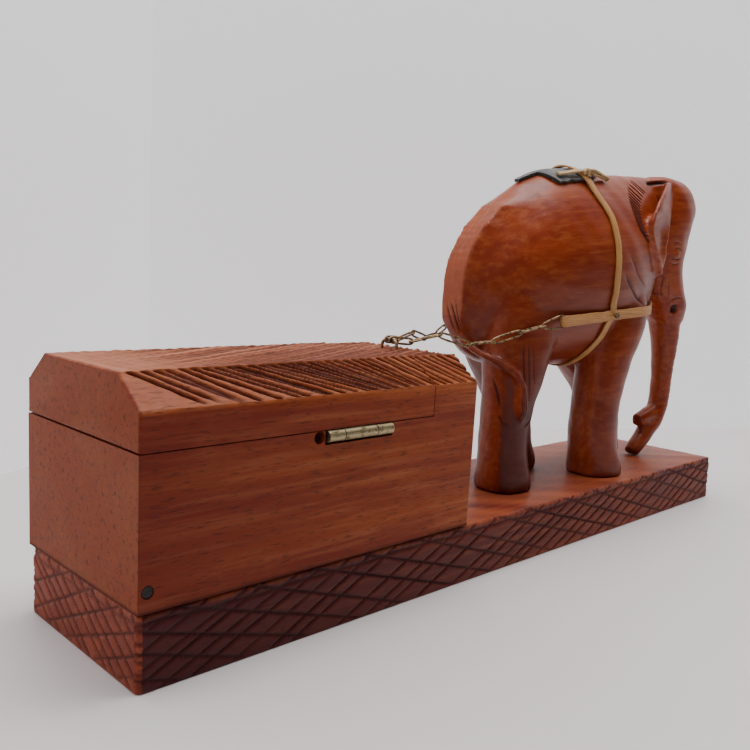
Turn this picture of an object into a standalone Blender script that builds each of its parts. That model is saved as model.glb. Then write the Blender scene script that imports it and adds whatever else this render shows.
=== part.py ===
"""A carved wooden elephant that hauls a log, on a plank base.

The log is a trinket box: its top is a lid on one small butt hinge. Two wire chains run from a
staple in the log's fixed end to the ends of the elephant's breast strap. Metres, +Z up. The
plank runs along X with the log at its -X end, the elephant walks towards +X, and the origin is
on the table under the middle of the plank.
"""

import math

import bmesh
import bpy
from mathutils import Matrix, Vector
from mathutils.bvhtree import BVHTree
from mathutils.geometry import convex_hull_2d

GAP = 0.0003

# Plank
BASE_LENGTH = 0.300
BASE_WIDTH = 0.063
BASE_HEIGHT = 0.0193
BASE_EDGE = 0.0008

# Log: a box with a lid, and a solid block at its far end
LOG_LENGTH = 0.118
LOG_TOP = 0.0752
LOG_LEAN = 0.0013
PARTING = 0.0575
LID_LENGTH = 0.0985
LID_PROUD = 0.0003
SAW_CUT = 0.0006
CHAMFER_WIDTH = 0.0105
CHAMFER_DROP = 0.0080
WALL = 0.0085
FLOOR = 0.0070
CAVITY_LENGTH = 0.0800
LOG_BOTTOM = BASE_HEIGHT + GAP
LOG_START = -BASE_LENGTH / 2
LOG_END = LOG_START + LOG_LENGTH
SIDE = BASE_WIDTH / 2

# Hinge: a butt hinge with three knuckles
HINGE_START = LOG_START + 0.0558
KNUCKLES = (0.0058, 0.0124, 0.0064)
KNUCKLE_RADIUS = 0.00165
LEAF_THICKNESS = 0.0008
LEAF_WIDTH = 0.0062
HINGE_AXIS = Vector((0.0, -SIDE + 0.0004, 0.0558))
PIN_RADIUS = 0.0006
MORTISE_FLOOR = HINGE_AXIS.z - KNUCKLE_RADIUS - 2 * GAP
SLOT_HOLE_RADIUS = 0.0018
SLOT_HOLE_DEPTH = 0.0060

# Screws up through the plank, and the plugged hole low in the log's side
SCREW_SHANK, SCREW_HEAD = 0.0015, 0.0030
SCREW_SUNK = 0.0005
SCREW_LENGTH, FOOT_SCREW_LENGTH = 0.0240, 0.0300
LOG_SCREWS = (LOG_START + 0.028, LOG_START + 0.104)
PLUG_SPOT = (LOG_START + 0.0026, 0.0248)
PLUG_RADIUS, PLUG_DEPTH = 0.0014, 0.0060

# Chains
WIRE_RADIUS = 0.0004
LINK_WIDTH = 0.0023
WIDE_END, WIDE_END_CORNER = 0.0060, 0.0007
CORNER_SLACK = 0.00002
LINK_OVERLAP = 0.0011
STAPLE = Vector((LOG_START + 0.1093, 0.0, LOG_TOP))
STAPLE_WIRE = 0.00055
STAPLE_SPAN = 0.0070
STAPLE_RISE = 0.0028
STAPLE_DEPTH = 0.0060
CHAIN_RIGHT = (
    (-0.0412, -0.0012, 0.0780), (-0.0327, -0.0026, 0.0773), (-0.0213, -0.0055, 0.0796),
    (-0.0092, -0.0087, 0.0762), (0.0012, -0.0116, 0.0772), (0.0120, -0.0154, 0.0806),
    (0.0222, -0.0187, 0.0832), (0.0311, -0.0213, 0.0850),
)
CHAIN_LEFT = (
    (-0.0412, 0.0012, 0.0780), (-0.0325, 0.0042, 0.0773), (-0.0212, 0.0080, 0.0792),
    (-0.0096, 0.0122, 0.0766), (0.0019, 0.0170, 0.0776), (0.0133, 0.0222, 0.0800),
    (0.0248, 0.0256, 0.0828), (0.0360, 0.0268, 0.0850),
)

# Elephant, in its own frame: u forward, v to its left, w up from the plank
ELEPHANT_PLACE = Vector((0.0600, 0.0, BASE_HEIGHT + GAP))
ELEPHANT_TURN = math.radians(-6.0)
ELEPHANT_TRIANGLES = 5600
# u, lowest w, highest w, half width, how far the upper half narrows to a ridge
TORSO = (
    (-0.0625, 0.0650, 0.0800, 0.0034, 0.10), (-0.0602, 0.0580, 0.0885, 0.0062, 0.30),
    (-0.0552, 0.0520, 0.0972, 0.0108, 0.50), (-0.0470, 0.0480, 0.1060, 0.0160, 0.50),
    (-0.0370, 0.0460, 0.1140, 0.0200, 0.45), (-0.0280, 0.0460, 0.1195, 0.0222, 0.40),
    (-0.0180, 0.0452, 0.1230, 0.0235, 0.35), (-0.0050, 0.0455, 0.1248, 0.0240, 0.30),
    (0.0080, 0.0462, 0.1256, 0.0236, 0.30), (0.0200, 0.0485, 0.1264, 0.0222, 0.30),
    (0.0320, 0.0530, 0.1272, 0.0196, 0.30), (0.0430, 0.0570, 0.1280, 0.0155, 0.25),
    (0.0520, 0.0660, 0.1284, 0.0112, 0.20),
)
# w, u, half length, half width
HEAD = (
    (0.1294, 0.0640, 0.0080, 0.0040), (0.1270, 0.0662, 0.0140, 0.0078),
    (0.1220, 0.0688, 0.0172, 0.0102), (0.1150, 0.0697, 0.0180, 0.0115),
    (0.1060, 0.0675, 0.0168, 0.0115), (0.0970, 0.0670, 0.0160, 0.0108),
    (0.0890, 0.0675, 0.0138, 0.0102), (0.0800, 0.0705, 0.0130, 0.0100),
    (0.0720, 0.0755, 0.0118, 0.0096), (0.0640, 0.0780, 0.0088, 0.0080),
)
# u, w, radius
TRUNK = (
    (0.0778, 0.0640, 0.0076), (0.0790, 0.0540, 0.0065), (0.0794, 0.0440, 0.0055),
    (0.0792, 0.0340, 0.0049), (0.0786, 0.0250, 0.0048), (0.0752, 0.0165, 0.0048),
    (0.0690, 0.0095, 0.0042), (0.0630, 0.0042, 0.0038), (0.0594, 0.0008, 0.0035),
)
TRUNK_FINGER = ((0.0760, 0.0195, 0.0042), (0.0690, 0.0178, 0.0038), (0.0620, 0.0160, 0.0032))
# height w, distance v from the middle, half length, half width
HIND_LEG = (
    (0.0000, 0.0126, 0.0105, 0.0105), (0.0040, 0.0126, 0.0104, 0.0104),
    (0.0120, 0.0126, 0.0094, 0.0094), (0.0200, 0.0124, 0.0091, 0.0091),
    (0.0300, 0.0122, 0.0098, 0.0094), (0.0390, 0.0120, 0.0115, 0.0100),
    (0.0480, 0.0116, 0.0142, 0.0101), (0.0600, 0.0107, 0.0172, 0.0098),
    (0.0740, 0.0095, 0.0170, 0.0094), (0.0860, 0.0080, 0.0120, 0.0070),
)
FRONT_LEG = (
    (0.0000, 0.0132, 0.0112, 0.0112), (0.0040, 0.0132, 0.0110, 0.0110),
    (0.0120, 0.0132, 0.0100, 0.0100), (0.0220, 0.0130, 0.0096, 0.0096),
    (0.0320, 0.0128, 0.0099, 0.0098), (0.0420, 0.0126, 0.0108, 0.0103),
    (0.0520, 0.0122, 0.0127, 0.0107), (0.0620, 0.0114, 0.0157, 0.0110),
    (0.0740, 0.0100, 0.0165, 0.0100), (0.0860, 0.0080, 0.0120, 0.0075),
)
# Centre of each leg along u, station by station
RIGHT_HIND = (-0.0420, -0.0420, -0.0430, -0.0430, -0.0420, -0.0400, -0.0380, -0.0350,
              -0.0340, -0.0340)
LEFT_HIND = (-0.0110, -0.0110, -0.0125, -0.0135, -0.0165, -0.0205, -0.0245, -0.0285,
             -0.0310, -0.0320)
RIGHT_FRONT = (0.0138, 0.0138, 0.0116, 0.0110, 0.0124, 0.0144, 0.0176, 0.0218, 0.0238,
               0.0248)
LEFT_FRONT = (0.0480, 0.0480, 0.0485, 0.0475, 0.0420, 0.0325, 0.0265, 0.0240, 0.0240,
              0.0245)

# Harness
ABOVE_ALL = 0.20
STRAP_THICKNESS = 0.0008
GIRTH_U, GIRTH_W = 0.0, 0.0860
CROSSING_U, CROSSING_GAP = 0.0046, 0.0005
# height w, and how far the girth strap lies forward of GIRTH_U there
GIRTH_SHIFT = (
    (0.0480, 0.0), (0.0600, CROSSING_U), (0.1070, CROSSING_U), (0.1160, 0.0004),
    (0.1215, -0.0010), (0.1245, -0.0034), (0.1270, -0.0054),
)
GIRTH_WIDTH, GIRTH_STEP = 0.0034, 0.0035
BREAST_U, BREAST_W = 0.0050, 0.0677
BREAST_WIDTH = 0.0040
BREAST_SLOPE = 0.075
EYE_RADIUS = 0.0013
STRAP_LIFT = 0.0008
DOUBLED_TO, FOLD_FADE = -0.0030, 0.0040
EYE_TAPER = 0.0050
BREAST_STEP = 0.0022
CHEST_START = 0.0060
TIE_V = -0.0066
TIE_LEAN = (-0.45, 0.89)
TIE_START, TIE_END = -0.0210, 0.0080
TIE_WIDTH = 0.0022
TIE_LIFT = 0.00085
TIE_SAMPLES, TIE_STEP = 24, 0.0025
TIE_CLEAR = 0.05
# Saddle pad: u and half width, from its rear tip forward
PAD = (
    (-0.0310, 0.0010), (-0.0222, 0.0018), (-0.0195, 0.0062), (-0.0170, 0.0088),
    (-0.0050, 0.0090), (0.0050, 0.0072), (0.0110, 0.0050),
)
PAD_THICKNESS = 0.0012
PAD_LIFT = 0.0006
PAD_STEPS, PAD_HALF_COLUMNS = 21, 4


def clear_scene():
    for old in list(bpy.data.objects):
        bpy.data.objects.remove(old, do_unlink=True)


def new_collection(name):
    collection = bpy.data.collections.new(name)
    bpy.context.scene.collection.children.link(collection)
    return collection


def new_material(name, colour, roughness, metallic=0.0):
    material = bpy.data.materials.new(name)
    material.use_nodes = True
    shader = material.node_tree.nodes["Principled BSDF"]
    shader.inputs["Base Color"].default_value = (*colour, 1.0)
    shader.inputs["Roughness"].default_value = roughness
    shader.inputs["Metallic"].default_value = metallic
    material.diffuse_color = (*colour, 1.0)
    return material


clear_scene()
PARTS = new_collection("carved_elephant_with_log_box")
CUTTERS = new_collection("cutters")
CUTTERS.hide_render = True

RED_WOOD = new_material("stained_red_wood", (0.16, 0.040, 0.014), 0.38)
LOG_WOOD = new_material("stained_log_wood", (0.24, 0.065, 0.018), 0.42)
CANE = new_material("tan_strap", (0.50, 0.27, 0.09), 0.60)
DARK_LEATHER = new_material("dark_pad_leather", (0.030, 0.028, 0.026), 0.65)
BRASS = new_material("dull_brass", (0.42, 0.36, 0.22), 0.45, 1.0)
BRONZE_WIRE = new_material("dark_bronze_wire", (0.16, 0.10, 0.055), 0.45, 1.0)
STEEL = new_material("steel", (0.45, 0.45, 0.45), 0.40, 1.0)


def add_object(name, mesh, material, collection=None):
    """An object for this mesh, in the parts' collection unless another is given."""
    obj = bpy.data.objects.new(name, mesh)
    (collection or PARTS).objects.link(obj)
    if material is None:
        obj.hide_render = True
        obj.display_type = "WIRE"
    else:
        mesh.materials.clear()
        mesh.materials.append(material)
    return obj


def mesh_from(name, bm):
    bmesh.ops.recalc_face_normals(bm, faces=bm.faces)
    mesh = bpy.data.meshes.new(name)
    bm.to_mesh(mesh)
    bm.free()
    return mesh


def box(name, low, high, material, collection=None):
    low, high = Vector(low), Vector(high)
    bm = bmesh.new()
    bmesh.ops.create_cube(bm, size=1.0)
    bmesh.ops.scale(bm, vec=high - low, verts=bm.verts)
    bmesh.ops.translate(bm, vec=(low + high) / 2, verts=bm.verts)
    return add_object(name, mesh_from(name, bm), material, collection)


def rod(name, start, end, radius, material, collection=None, sides=24):
    """A cylinder between two points."""
    start, end = Vector(start), Vector(end)
    turn = (end - start).to_track_quat("Z", "Y").to_matrix().to_4x4()
    place = Matrix.Translation((start + end) / 2) @ turn
    bm = bmesh.new()
    bmesh.ops.create_cone(
        bm, cap_ends=True, segments=sides, radius1=radius, radius2=radius,
        depth=(end - start).length, matrix=place,
    )
    return add_object(name, mesh_from(name, bm), material, collection)


def turned(name, profile, place, material, collection=None, sides=16):
    """A turned piece: (radius, height) points from its top to its bottom, spun round Z."""
    bm = bmesh.new()
    verts = [bm.verts.new((radius, 0.0, height)) for radius, height in profile]
    for first, second in zip(verts, verts[1:]):
        bm.edges.new((first, second))
    mesh = bpy.data.meshes.new(name)
    bm.to_mesh(mesh)
    bm.free()
    obj = add_object(name, mesh, material, collection)
    obj.location = place
    spin = obj.modifiers.new("spin", "SCREW")
    spin.steps = spin.render_steps = sides
    spin.use_merge_vertices = True
    spin.merge_threshold = 0.00001
    return obj


def wire(name, points, radius, material, closed=False, resolution=1):
    """A bent wire along the points, as a mesh whose caps are welded."""
    curve = bpy.data.curves.new(name, "CURVE")
    curve.dimensions = "3D"
    curve.bevel_depth = radius
    curve.bevel_resolution = resolution
    curve.use_fill_caps = not closed
    spline = curve.splines.new("POLY")
    spline.points.add(len(points) - 1)
    for target, point in zip(spline.points, points):
        target.co = (*point, 1.0)
    spline.use_cyclic_u = closed
    obj = add_object(name, curve, material)
    return as_mesh(obj, material)


def as_mesh(obj, material):
    """Replaces an object by a mesh of what the viewport shows, with doubles merged."""
    name = obj.name
    graph = bpy.context.evaluated_depsgraph_get()
    mesh = bpy.data.meshes.new_from_object(obj.evaluated_get(graph))
    place = obj.matrix_world.copy()
    bpy.data.objects.remove(obj, do_unlink=True)
    bm = bmesh.new()
    bm.from_mesh(mesh)
    bmesh.ops.remove_doubles(bm, verts=bm.verts, dist=0.000005)
    bmesh.ops.recalc_face_normals(bm, faces=bm.faces)
    bm.to_mesh(mesh)
    bm.free()
    solid = add_object(name, mesh, material)
    solid.matrix_world = place
    return solid


def boolean(obj, other, operation="DIFFERENCE"):
    modifier = obj.modifiers.new(f"{operation.lower()}_{other.name}", "BOOLEAN")
    modifier.operation = operation
    modifier.object = other


def round_edges(obj, width, segments=2, limit=math.radians(40)):
    bevel = obj.modifiers.new("round_edges", "BEVEL")
    bevel.width = width
    bevel.segments = segments
    bevel.limit_method = "ANGLE"
    bevel.angle_limit = limit


def smooth(obj, angle=math.radians(35)):
    obj.data.shade_smooth()
    obj.data.set_sharp_from_angle(angle=angle)


# ---------------------------------------------------------------- screws, nails and their holes

def screw_profile(length, clearance=0.0):
    """A countersunk screw standing on its head: tip at the top, head at z = 0."""
    taper = SCREW_HEAD - SCREW_SHANK
    below = -0.0010 if clearance else 0.0
    points = [
        (0.0, length + clearance), (SCREW_SHANK * 0.6 + clearance, length + clearance),
        (SCREW_SHANK + clearance, length - SCREW_SHANK), (SCREW_SHANK + clearance, taper),
        (SCREW_HEAD + clearance, 0.0),
    ]
    if clearance:
        points.append((SCREW_HEAD + clearance, below))
    points.append((0.0, below))
    return points


def base_screw(name, x, y, length, pieces):
    """A screw driven up through the plank, and its hole in each piece that it holds."""
    spot = (x, y, SCREW_SUNK)
    turned(name, screw_profile(length), spot, STEEL)
    hole = turned(name + "_hole", screw_profile(length, GAP), spot, None, CUTTERS)
    for piece in pieces:
        boolean(piece, hole)


def nail(name, tip, head_point, radius, head_radius, head_height, material, pieces):
    """A round nail from its tip to the top of its head, and its hole in each piece."""
    tip, head_point = Vector(tip), Vector(head_point)
    length = (head_point - tip).length
    profile = (
        (0.0, length), (head_radius, length), (head_radius, length - head_height),
        (radius, length - head_height), (radius, radius), (0.0, 0.0),
    )
    body = turned(name, profile, (0.0, 0.0, 0.0), material, sides=12)
    turn = (head_point - tip).to_track_quat("Z", "Y").to_matrix().to_4x4()
    body.matrix_world = Matrix.Translation(tip) @ turn
    reach = (head_point - tip).normalized()
    hole = rod(
        name + "_hole", tip - reach * GAP, head_point, radius + GAP, None, CUTTERS, 12
    )
    for piece in pieces:
        boolean(piece, hole)
    return body


# ---------------------------------------------------------------- plank and log

def log_outline(top):
    """The log's cross-section: square below, a wide chamfer on both upper edges."""
    return (
        (-SIDE, LOG_BOTTOM), (SIDE, LOG_BOTTOM), (SIDE, top - CHAMFER_DROP),
        (SIDE - CHAMFER_WIDTH, top), (-SIDE + CHAMFER_WIDTH, top), (-SIDE, top - CHAMFER_DROP),
    )


def log_blank(name, start, end, top, lean, material):
    """The log's cross-section carried from start to end, its far face leaning by lean."""
    bm = bmesh.new()
    height = top - LOG_BOTTOM
    near = [bm.verts.new((start, y, z)) for y, z in log_outline(top)]
    far = [
        bm.verts.new((end + lean * (z - LOG_BOTTOM) / height, y, z)) for y, z in log_outline(top)
    ]
    bm.faces.new(near)
    bm.faces.new(far)
    for i in range(len(near)):
        j = (i + 1) % len(near)
        bm.faces.new((near[i], near[j], far[j], far[i]))
    return add_object(name, mesh_from(name, bm), material, None if material else CUTTERS)


def make_base():
    base = box(
        "base_plank", (-BASE_LENGTH / 2, -SIDE, 0.0), (BASE_LENGTH / 2, SIDE, BASE_HEIGHT),
        RED_WOOD,
    )
    round_edges(base, BASE_EDGE, 1)
    return base


def make_log():
    """The hollow log with its fixed end block, and the lid that is cut from it."""
    cut_end = LOG_START + LID_LENGTH
    body = log_blank("log_box", LOG_START, LOG_END, LOG_TOP, LOG_LEAN, LOG_WOOD)
    opening = box(
        "lid_space", (LOG_START - 0.01, -SIDE - 0.01, PARTING),
        (cut_end + SAW_CUT, SIDE + 0.01, LOG_TOP + 0.01), None, CUTTERS,
    )
    cavity = box(
        "log_hollow", (LOG_START + WALL, -SIDE + WALL, BASE_HEIGHT + FLOOR),
        (LOG_START + WALL + CAVITY_LENGTH, SIDE - WALL, PARTING + 0.01), None, CUTTERS,
    )
    boolean(body, opening)
    boolean(body, cavity)
    lid = log_blank(
        "log_lid", LOG_START, cut_end, LOG_TOP + LID_PROUD, 0.0, LOG_WOOD
    )
    below = box(
        "below_lid", (LOG_START - 0.01, -SIDE - 0.01, 0.0),
        (cut_end + 0.01, SIDE + 0.01, PARTING + GAP), None, CUTTERS,
    )
    boolean(lid, below)
    round_edges(lid, 0.0006, 1)
    return body, lid


def make_log_plug(log):
    """A short dark plug in the log's side, near its lower front corner."""
    x, z = PLUG_SPOT
    rod(
        "log_plug", (x, -SIDE + PLUG_DEPTH, z), (x, -SIDE + 0.0002, z), PLUG_RADIUS, DARK_LEATHER,
        sides=12,
    )
    boolean(log, rod(
        "log_plug_hole", (x, -SIDE + PLUG_DEPTH + GAP, z), (x, -SIDE - 0.001, z),
        PLUG_RADIUS + GAP, None, CUTTERS, 12,
    ))


# ---------------------------------------------------------------- hinge

def hinge_leaf(name, low_z, high_z, spans, gaps):
    """A leaf with its knuckles: spans are the knuckles' (start, end), gaps the other leaf's."""
    axis = HINGE_AXIS
    end = HINGE_START + sum(KNUCKLES)
    leaf = box(
        name, (HINGE_START, axis.y, low_z), (end, axis.y + LEAF_WIDTH, high_z), BRASS
    )
    for number, (start, stop) in enumerate(gaps):
        notch = box(
            f"{name}_notch_{number}",
            (start - GAP, axis.y - 0.001, low_z - 0.001),
            (stop + GAP, axis.y + KNUCKLE_RADIUS + GAP, high_z + 0.001), None, CUTTERS,
        )
        boolean(leaf, notch)
    for number, (start, stop) in enumerate(spans):
        knuckle = rod(
            f"{name}_knuckle_{number}", (start, axis.y, axis.z), (stop, axis.y, axis.z),
            KNUCKLE_RADIUS, None, CUTTERS,
        )
        boolean(leaf, knuckle, "UNION")
    bore = rod(
        f"{name}_bore", (HINGE_START - 0.001, axis.y, axis.z), (end + 0.001, axis.y, axis.z),
        PIN_RADIUS + GAP, None, CUTTERS, 16,
    )
    boolean(leaf, bore)
    return leaf


def make_hinge(log, lid):
    """The butt hinge in its mortise, with its pin and four nails."""
    axis = HINGE_AXIS
    first = HINGE_START + KNUCKLES[0]
    second = first + KNUCKLES[1]
    end = second + KNUCKLES[2]
    outer = ((HINGE_START, first - GAP / 2), (second + GAP / 2, end))
    middle = ((first + GAP / 2, second - GAP / 2),)
    bottom = axis.z - KNUCKLE_RADIUS
    lid_leaf_top = PARTING
    body_leaf = hinge_leaf("hinge_leaf_box", bottom, bottom + LEAF_THICKNESS, outer, middle)
    lid_leaf = hinge_leaf(
        "hinge_leaf_lid", lid_leaf_top - LEAF_THICKNESS, lid_leaf_top, middle, outer
    )
    rod(
        "hinge_pin", (HINGE_START, axis.y, axis.z), (end, axis.y, axis.z), PIN_RADIUS, BRASS,
        sides=12,
    )
    mortise = box(
        "hinge_mortise", (HINGE_START - 0.0008, -SIDE - 0.001, MORTISE_FLOOR),
        (end + 0.0004, axis.y + LEAF_WIDTH + GAP, PARTING + 0.001), None, CUTTERS,
    )
    slot_hole = rod(
        "hinge_slot_hole", (HINGE_START - 0.0028, -SIDE - 0.001, axis.z),
        (HINGE_START - 0.0028, -SIDE + SLOT_HOLE_DEPTH, axis.z), SLOT_HOLE_RADIUS, None,
        CUTTERS,
    )
    boolean(log, mortise)
    boolean(log, slot_hole)
    nail_y = axis.y + LEAF_WIDTH * 0.68
    for number, fraction in enumerate((0.22, 0.78), start=1):
        x = HINGE_START + (end - HINGE_START) * fraction
        top = bottom + LEAF_THICKNESS + GAP + 0.0003
        nail(
            f"hinge_nail_box_{number}", (x, nail_y, top - 0.0060), (x, nail_y, top),
            0.0005, 0.0010, 0.0003, BRASS, (log, body_leaf),
        )
        under = lid_leaf_top - LEAF_THICKNESS - GAP - 0.0003
        nail(
            f"hinge_nail_lid_{number}", (x, nail_y, under + 0.0060), (x, nail_y, under),
            0.0005, 0.0010, 0.0003, BRASS, (lid, lid_leaf),
        )


# ---------------------------------------------------------------- elephant

def ring(centre, across, along, half_across, half_along, power=2.0, ridge=0.0, count=20):
    """Points of a superellipse round centre, in the plane of two unit vectors.

    ridge narrows the half on the side of along, the more the further from the centre.
    """
    points = []
    for i in range(count):
        angle = 2 * math.pi * i / count
        c, s = math.cos(angle), math.sin(angle)
        rise = math.copysign(abs(s) ** (2 / power), s)
        reach = math.copysign(abs(c) ** (2 / power), c) * (1 - ridge * max(rise, 0.0) ** 2)
        points.append(centre + across * half_across * reach + along * half_along * rise)
    return points


def loft(bm, rings):
    """Adds a closed skin through rings of equal length, with a fan at each end."""
    rows = [[bm.verts.new(point) for point in points] for points in rings]
    count = len(rows[0])
    for near, far in zip(rows, rows[1:]):
        for i in range(count):
            j = (i + 1) % count
            bm.faces.new((near[i], near[j], far[j], far[i]))
    for row in (rows[0], rows[-1]):
        middle = bm.verts.new(sum((vert.co for vert in row), Vector()) / count)
        for i in range(count):
            bm.faces.new((row[i], row[(i + 1) % count], middle))


def loft_object(name, rings):
    bm = bmesh.new()
    loft(bm, rings)
    return add_object(name, mesh_from(name, bm), None, CUTTERS)


def torso_rings():
    side, up = Vector((0, 1, 0)), Vector((0, 0, 1))
    return [
        ring(Vector((u, 0, (low + high) / 2)), side, up, half, (high - low) / 2, 2.1, ridge)
        for u, low, high, half, ridge in TORSO
    ]


def head_rings():
    ahead, side = Vector((1, 0, 0)), Vector((0, 1, 0))
    return [
        ring(Vector((u, 0, w)), ahead, side, half_u, half_v, 2.1)
        for w, u, half_u, half_v in HEAD
    ]


def tube_rings(stations):
    """Round sections square to a centre line in the elephant's middle plane."""
    side = Vector((0, 1, 0))
    centres = [Vector((u, 0, w)) for u, w, radius in stations]
    rings = []
    for i, (u, w, radius) in enumerate(stations):
        ahead = centres[min(i + 1, len(centres) - 1)] - centres[max(i - 1, 0)]
        across = side.cross(ahead).normalized()
        rings.append(ring(centres[i], across, side, radius, radius))
    return rings


def leg_rings(stations, line, sign):
    ahead, side = Vector((1, 0, 0)), Vector((0, 1, 0))
    return [
        ring(Vector((u, sign * v, w)), ahead, side, half_u, half_v, 2.3)
        for (w, v, half_u, half_v), u in zip(stations, line)
    ]


def ear_object(name, sign):
    """An ear: a flat curved flap that hangs from the side of the head and sweeps back."""
    outline = (
        (0.0490, 0.1250), (0.0400, 0.1210), (0.0330, 0.1130), (0.0300, 0.1040),
        (0.0330, 0.0950), (0.0400, 0.0880), (0.0465, 0.0850), (0.0500, 0.0900),
        (0.0500, 0.1040), (0.0500, 0.1150),
    )
    bm = bmesh.new()
    face = bm.faces.new(
        [bm.verts.new((u, sign * (0.0120 + 0.28 * (0.050 - u)), w)) for u, w in outline]
    )
    bmesh.ops.triangulate(bm, faces=[face])
    obj = add_object(name, mesh_from(name, bm), None, CUTTERS)
    thick = obj.modifiers.new("thickness", "SOLIDIFY")
    thick.thickness = 0.0030
    thick.offset = 0.0
    return obj


def tail_object():
    """The tail: from the rump across the right thigh, with a flat tuft."""
    points = (
        (-0.0600, -0.0010, 0.0620, 1.6), (-0.0585, -0.0070, 0.0560, 1.5),
        (-0.0540, -0.0140, 0.0500, 1.3), (-0.0470, -0.0195, 0.0440, 1.2),
        (-0.0430, -0.0220, 0.0380, 1.5), (-0.0430, -0.0225, 0.0320, 1.7),
        (-0.0440, -0.0215, 0.0270, 0.8),
    )
    curve = bpy.data.curves.new("tail", "CURVE")
    curve.dimensions = "3D"
    curve.bevel_depth = 0.0010
    curve.bevel_resolution = 2
    curve.use_fill_caps = True
    spline = curve.splines.new("POLY")
    spline.points.add(len(points) - 1)
    for target, (u, v, w, radius) in zip(spline.points, points):
        target.co = (u, v, w, 1.0)
        target.radius = radius
    return as_mesh(add_object("tail", curve, BRASS), None)


def make_elephant():
    """Joins the lofted forms into one skin, as carved from one block."""
    forms = [
        loft_object("torso", torso_rings()),
        loft_object("head", head_rings()),
        loft_object("trunk", tube_rings(TRUNK)),
        loft_object("trunk_finger", tube_rings(TRUNK_FINGER)),
        loft_object("leg_right_hind", leg_rings(HIND_LEG, RIGHT_HIND, -1)),
        loft_object("leg_left_hind", leg_rings(HIND_LEG, LEFT_HIND, 1)),
        loft_object("leg_right_front", leg_rings(FRONT_LEG, RIGHT_FRONT, -1)),
        loft_object("leg_left_front", leg_rings(FRONT_LEG, LEFT_FRONT, 1)),
        ear_object("ear_right", -1), ear_object("ear_left", 1), tail_object(),
    ]
    graph = bpy.context.evaluated_depsgraph_get()
    bm = bmesh.new()
    for form in forms:
        bm.from_mesh(form.evaluated_get(graph).to_mesh())
        bpy.data.objects.remove(form, do_unlink=True)
    mesh = bpy.data.meshes.new("elephant")
    bm.to_mesh(mesh)
    bm.free()
    obj = add_object("elephant", mesh, RED_WOOD)
    skin = obj.modifiers.new("one_skin", "REMESH")
    skin.mode = "VOXEL"
    skin.voxel_size = 0.0011
    ease = obj.modifiers.new("ease", "SMOOTH")
    ease.factor = 0.5
    ease.iterations = 6
    solid = as_mesh(obj, RED_WOOD)
    thin = solid.modifiers.new("thin_out", "DECIMATE")
    thin.ratio = ELEPHANT_TRIANGLES / sum(len(face.vertices) - 2 for face in solid.data.polygons)
    solid = as_mesh(solid, RED_WOOD)
    for vert in solid.data.vertices:
        vert.co.z = max(vert.co.z, 0.0)
    solid.data.transform(elephant_frame())
    smooth(solid)
    return solid


def elephant_frame():
    """From the elephant's own frame to the world."""
    return Matrix.Translation(ELEPHANT_PLACE) @ Matrix.Rotation(ELEPHANT_TURN, 4, "Z")


# ---------------------------------------------------------------- harness

def tree_of(obj):
    return BVHTree.FromObject(obj, bpy.context.evaluated_depsgraph_get())


def place(u, v, w):
    return elephant_frame() @ Vector((u, v, w))


def turn(u, v, w):
    return elephant_frame().to_3x3() @ Vector((u, v, w))


def make_pad(elephant):
    """The leather pad: a sheet laid over the back, pointed at its rear, with a wall."""
    tree = tree_of(elephant)
    down = Vector((0, 0, -1))
    rows = []
    for i in range(PAD_STEPS + 1):
        u = PAD[0][0] + (PAD[-1][0] - PAD[0][0]) * i / PAD_STEPS
        half = interpolate(PAD, u)
        row = []
        for j in range(-PAD_HALF_COLUMNS, PAD_HALF_COLUMNS + 1):
            above = place(u, half * j / PAD_HALF_COLUMNS, ABOVE_ALL)
            hit, normal, _, _ = tree.ray_cast(above, down)
            row.append(hit + normal * (PAD_LIFT + PAD_THICKNESS / 2))
        rows.append(row)
    bm = bmesh.new()
    verts = [[bm.verts.new(point) for point in row] for row in rows]
    for near, far in zip(verts, verts[1:]):
        for j in range(len(near) - 1):
            bm.faces.new((near[j], far[j], far[j + 1], near[j + 1]))
    pad = add_object("saddle_pad", mesh_from("saddle_pad", bm), DARK_LEATHER)
    wall = pad.modifiers.new("wall", "SOLIDIFY")
    wall.thickness = PAD_THICKNESS
    wall.offset = 0.0
    return pad


def interpolate(table, x):
    """The second column at x, in a table whose first column rises."""
    for (x0, y0), (x1, y1) in zip(table, table[1:]):
        if x <= x1:
            return y0 + (y1 - y0) * max(0.0, x - x0) / (x1 - x0)
    return table[-1][1]


def outline(trees, centre, across, along, width, count=240):
    """The taut outline round these solids under a strap, as (across, along) pairs.

    It takes in five planes across the strap's width. The first tree is met from inside, so
    that nothing beyond its first wall counts; the others lie on it and are met from outside.
    """
    points = []
    for part in range(-2, 3):
        middle = centre + across.cross(along) * part * width / 4
        for i in range(count):
            angle = 2 * math.pi * i / count
            ray = across * math.cos(angle) + along * math.sin(angle)
            reach = trees[0].ray_cast(middle, ray)[3]
            for tree in trees[1:]:
                distance = tree.ray_cast(middle + ray * 0.2, -ray)[3]
                if distance is not None:
                    reach = max(reach, 0.2 - distance)
            points.append(Vector((reach * math.cos(angle), reach * math.sin(angle))))
    return [points[i] for i in convex_hull_2d(points)]


def even_points(points, spacing, closed):
    """Points at about this spacing along a line of 2D or 3D points."""
    loop = list(points) + ([points[0]] if closed else [])
    lengths = [(b - a).length for a, b in zip(loop, loop[1:])]
    total = sum(lengths)
    count = max(2, round(total / spacing))
    result = []
    for k in range(count if closed else count + 1):
        target, i = total * k / count, 0
        while i < len(lengths) - 1 and target > lengths[i]:
            target -= lengths[i]
            i += 1
        result.append(loop[i].lerp(loop[i + 1], min(1.0, target / lengths[i])))
    return result


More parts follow.
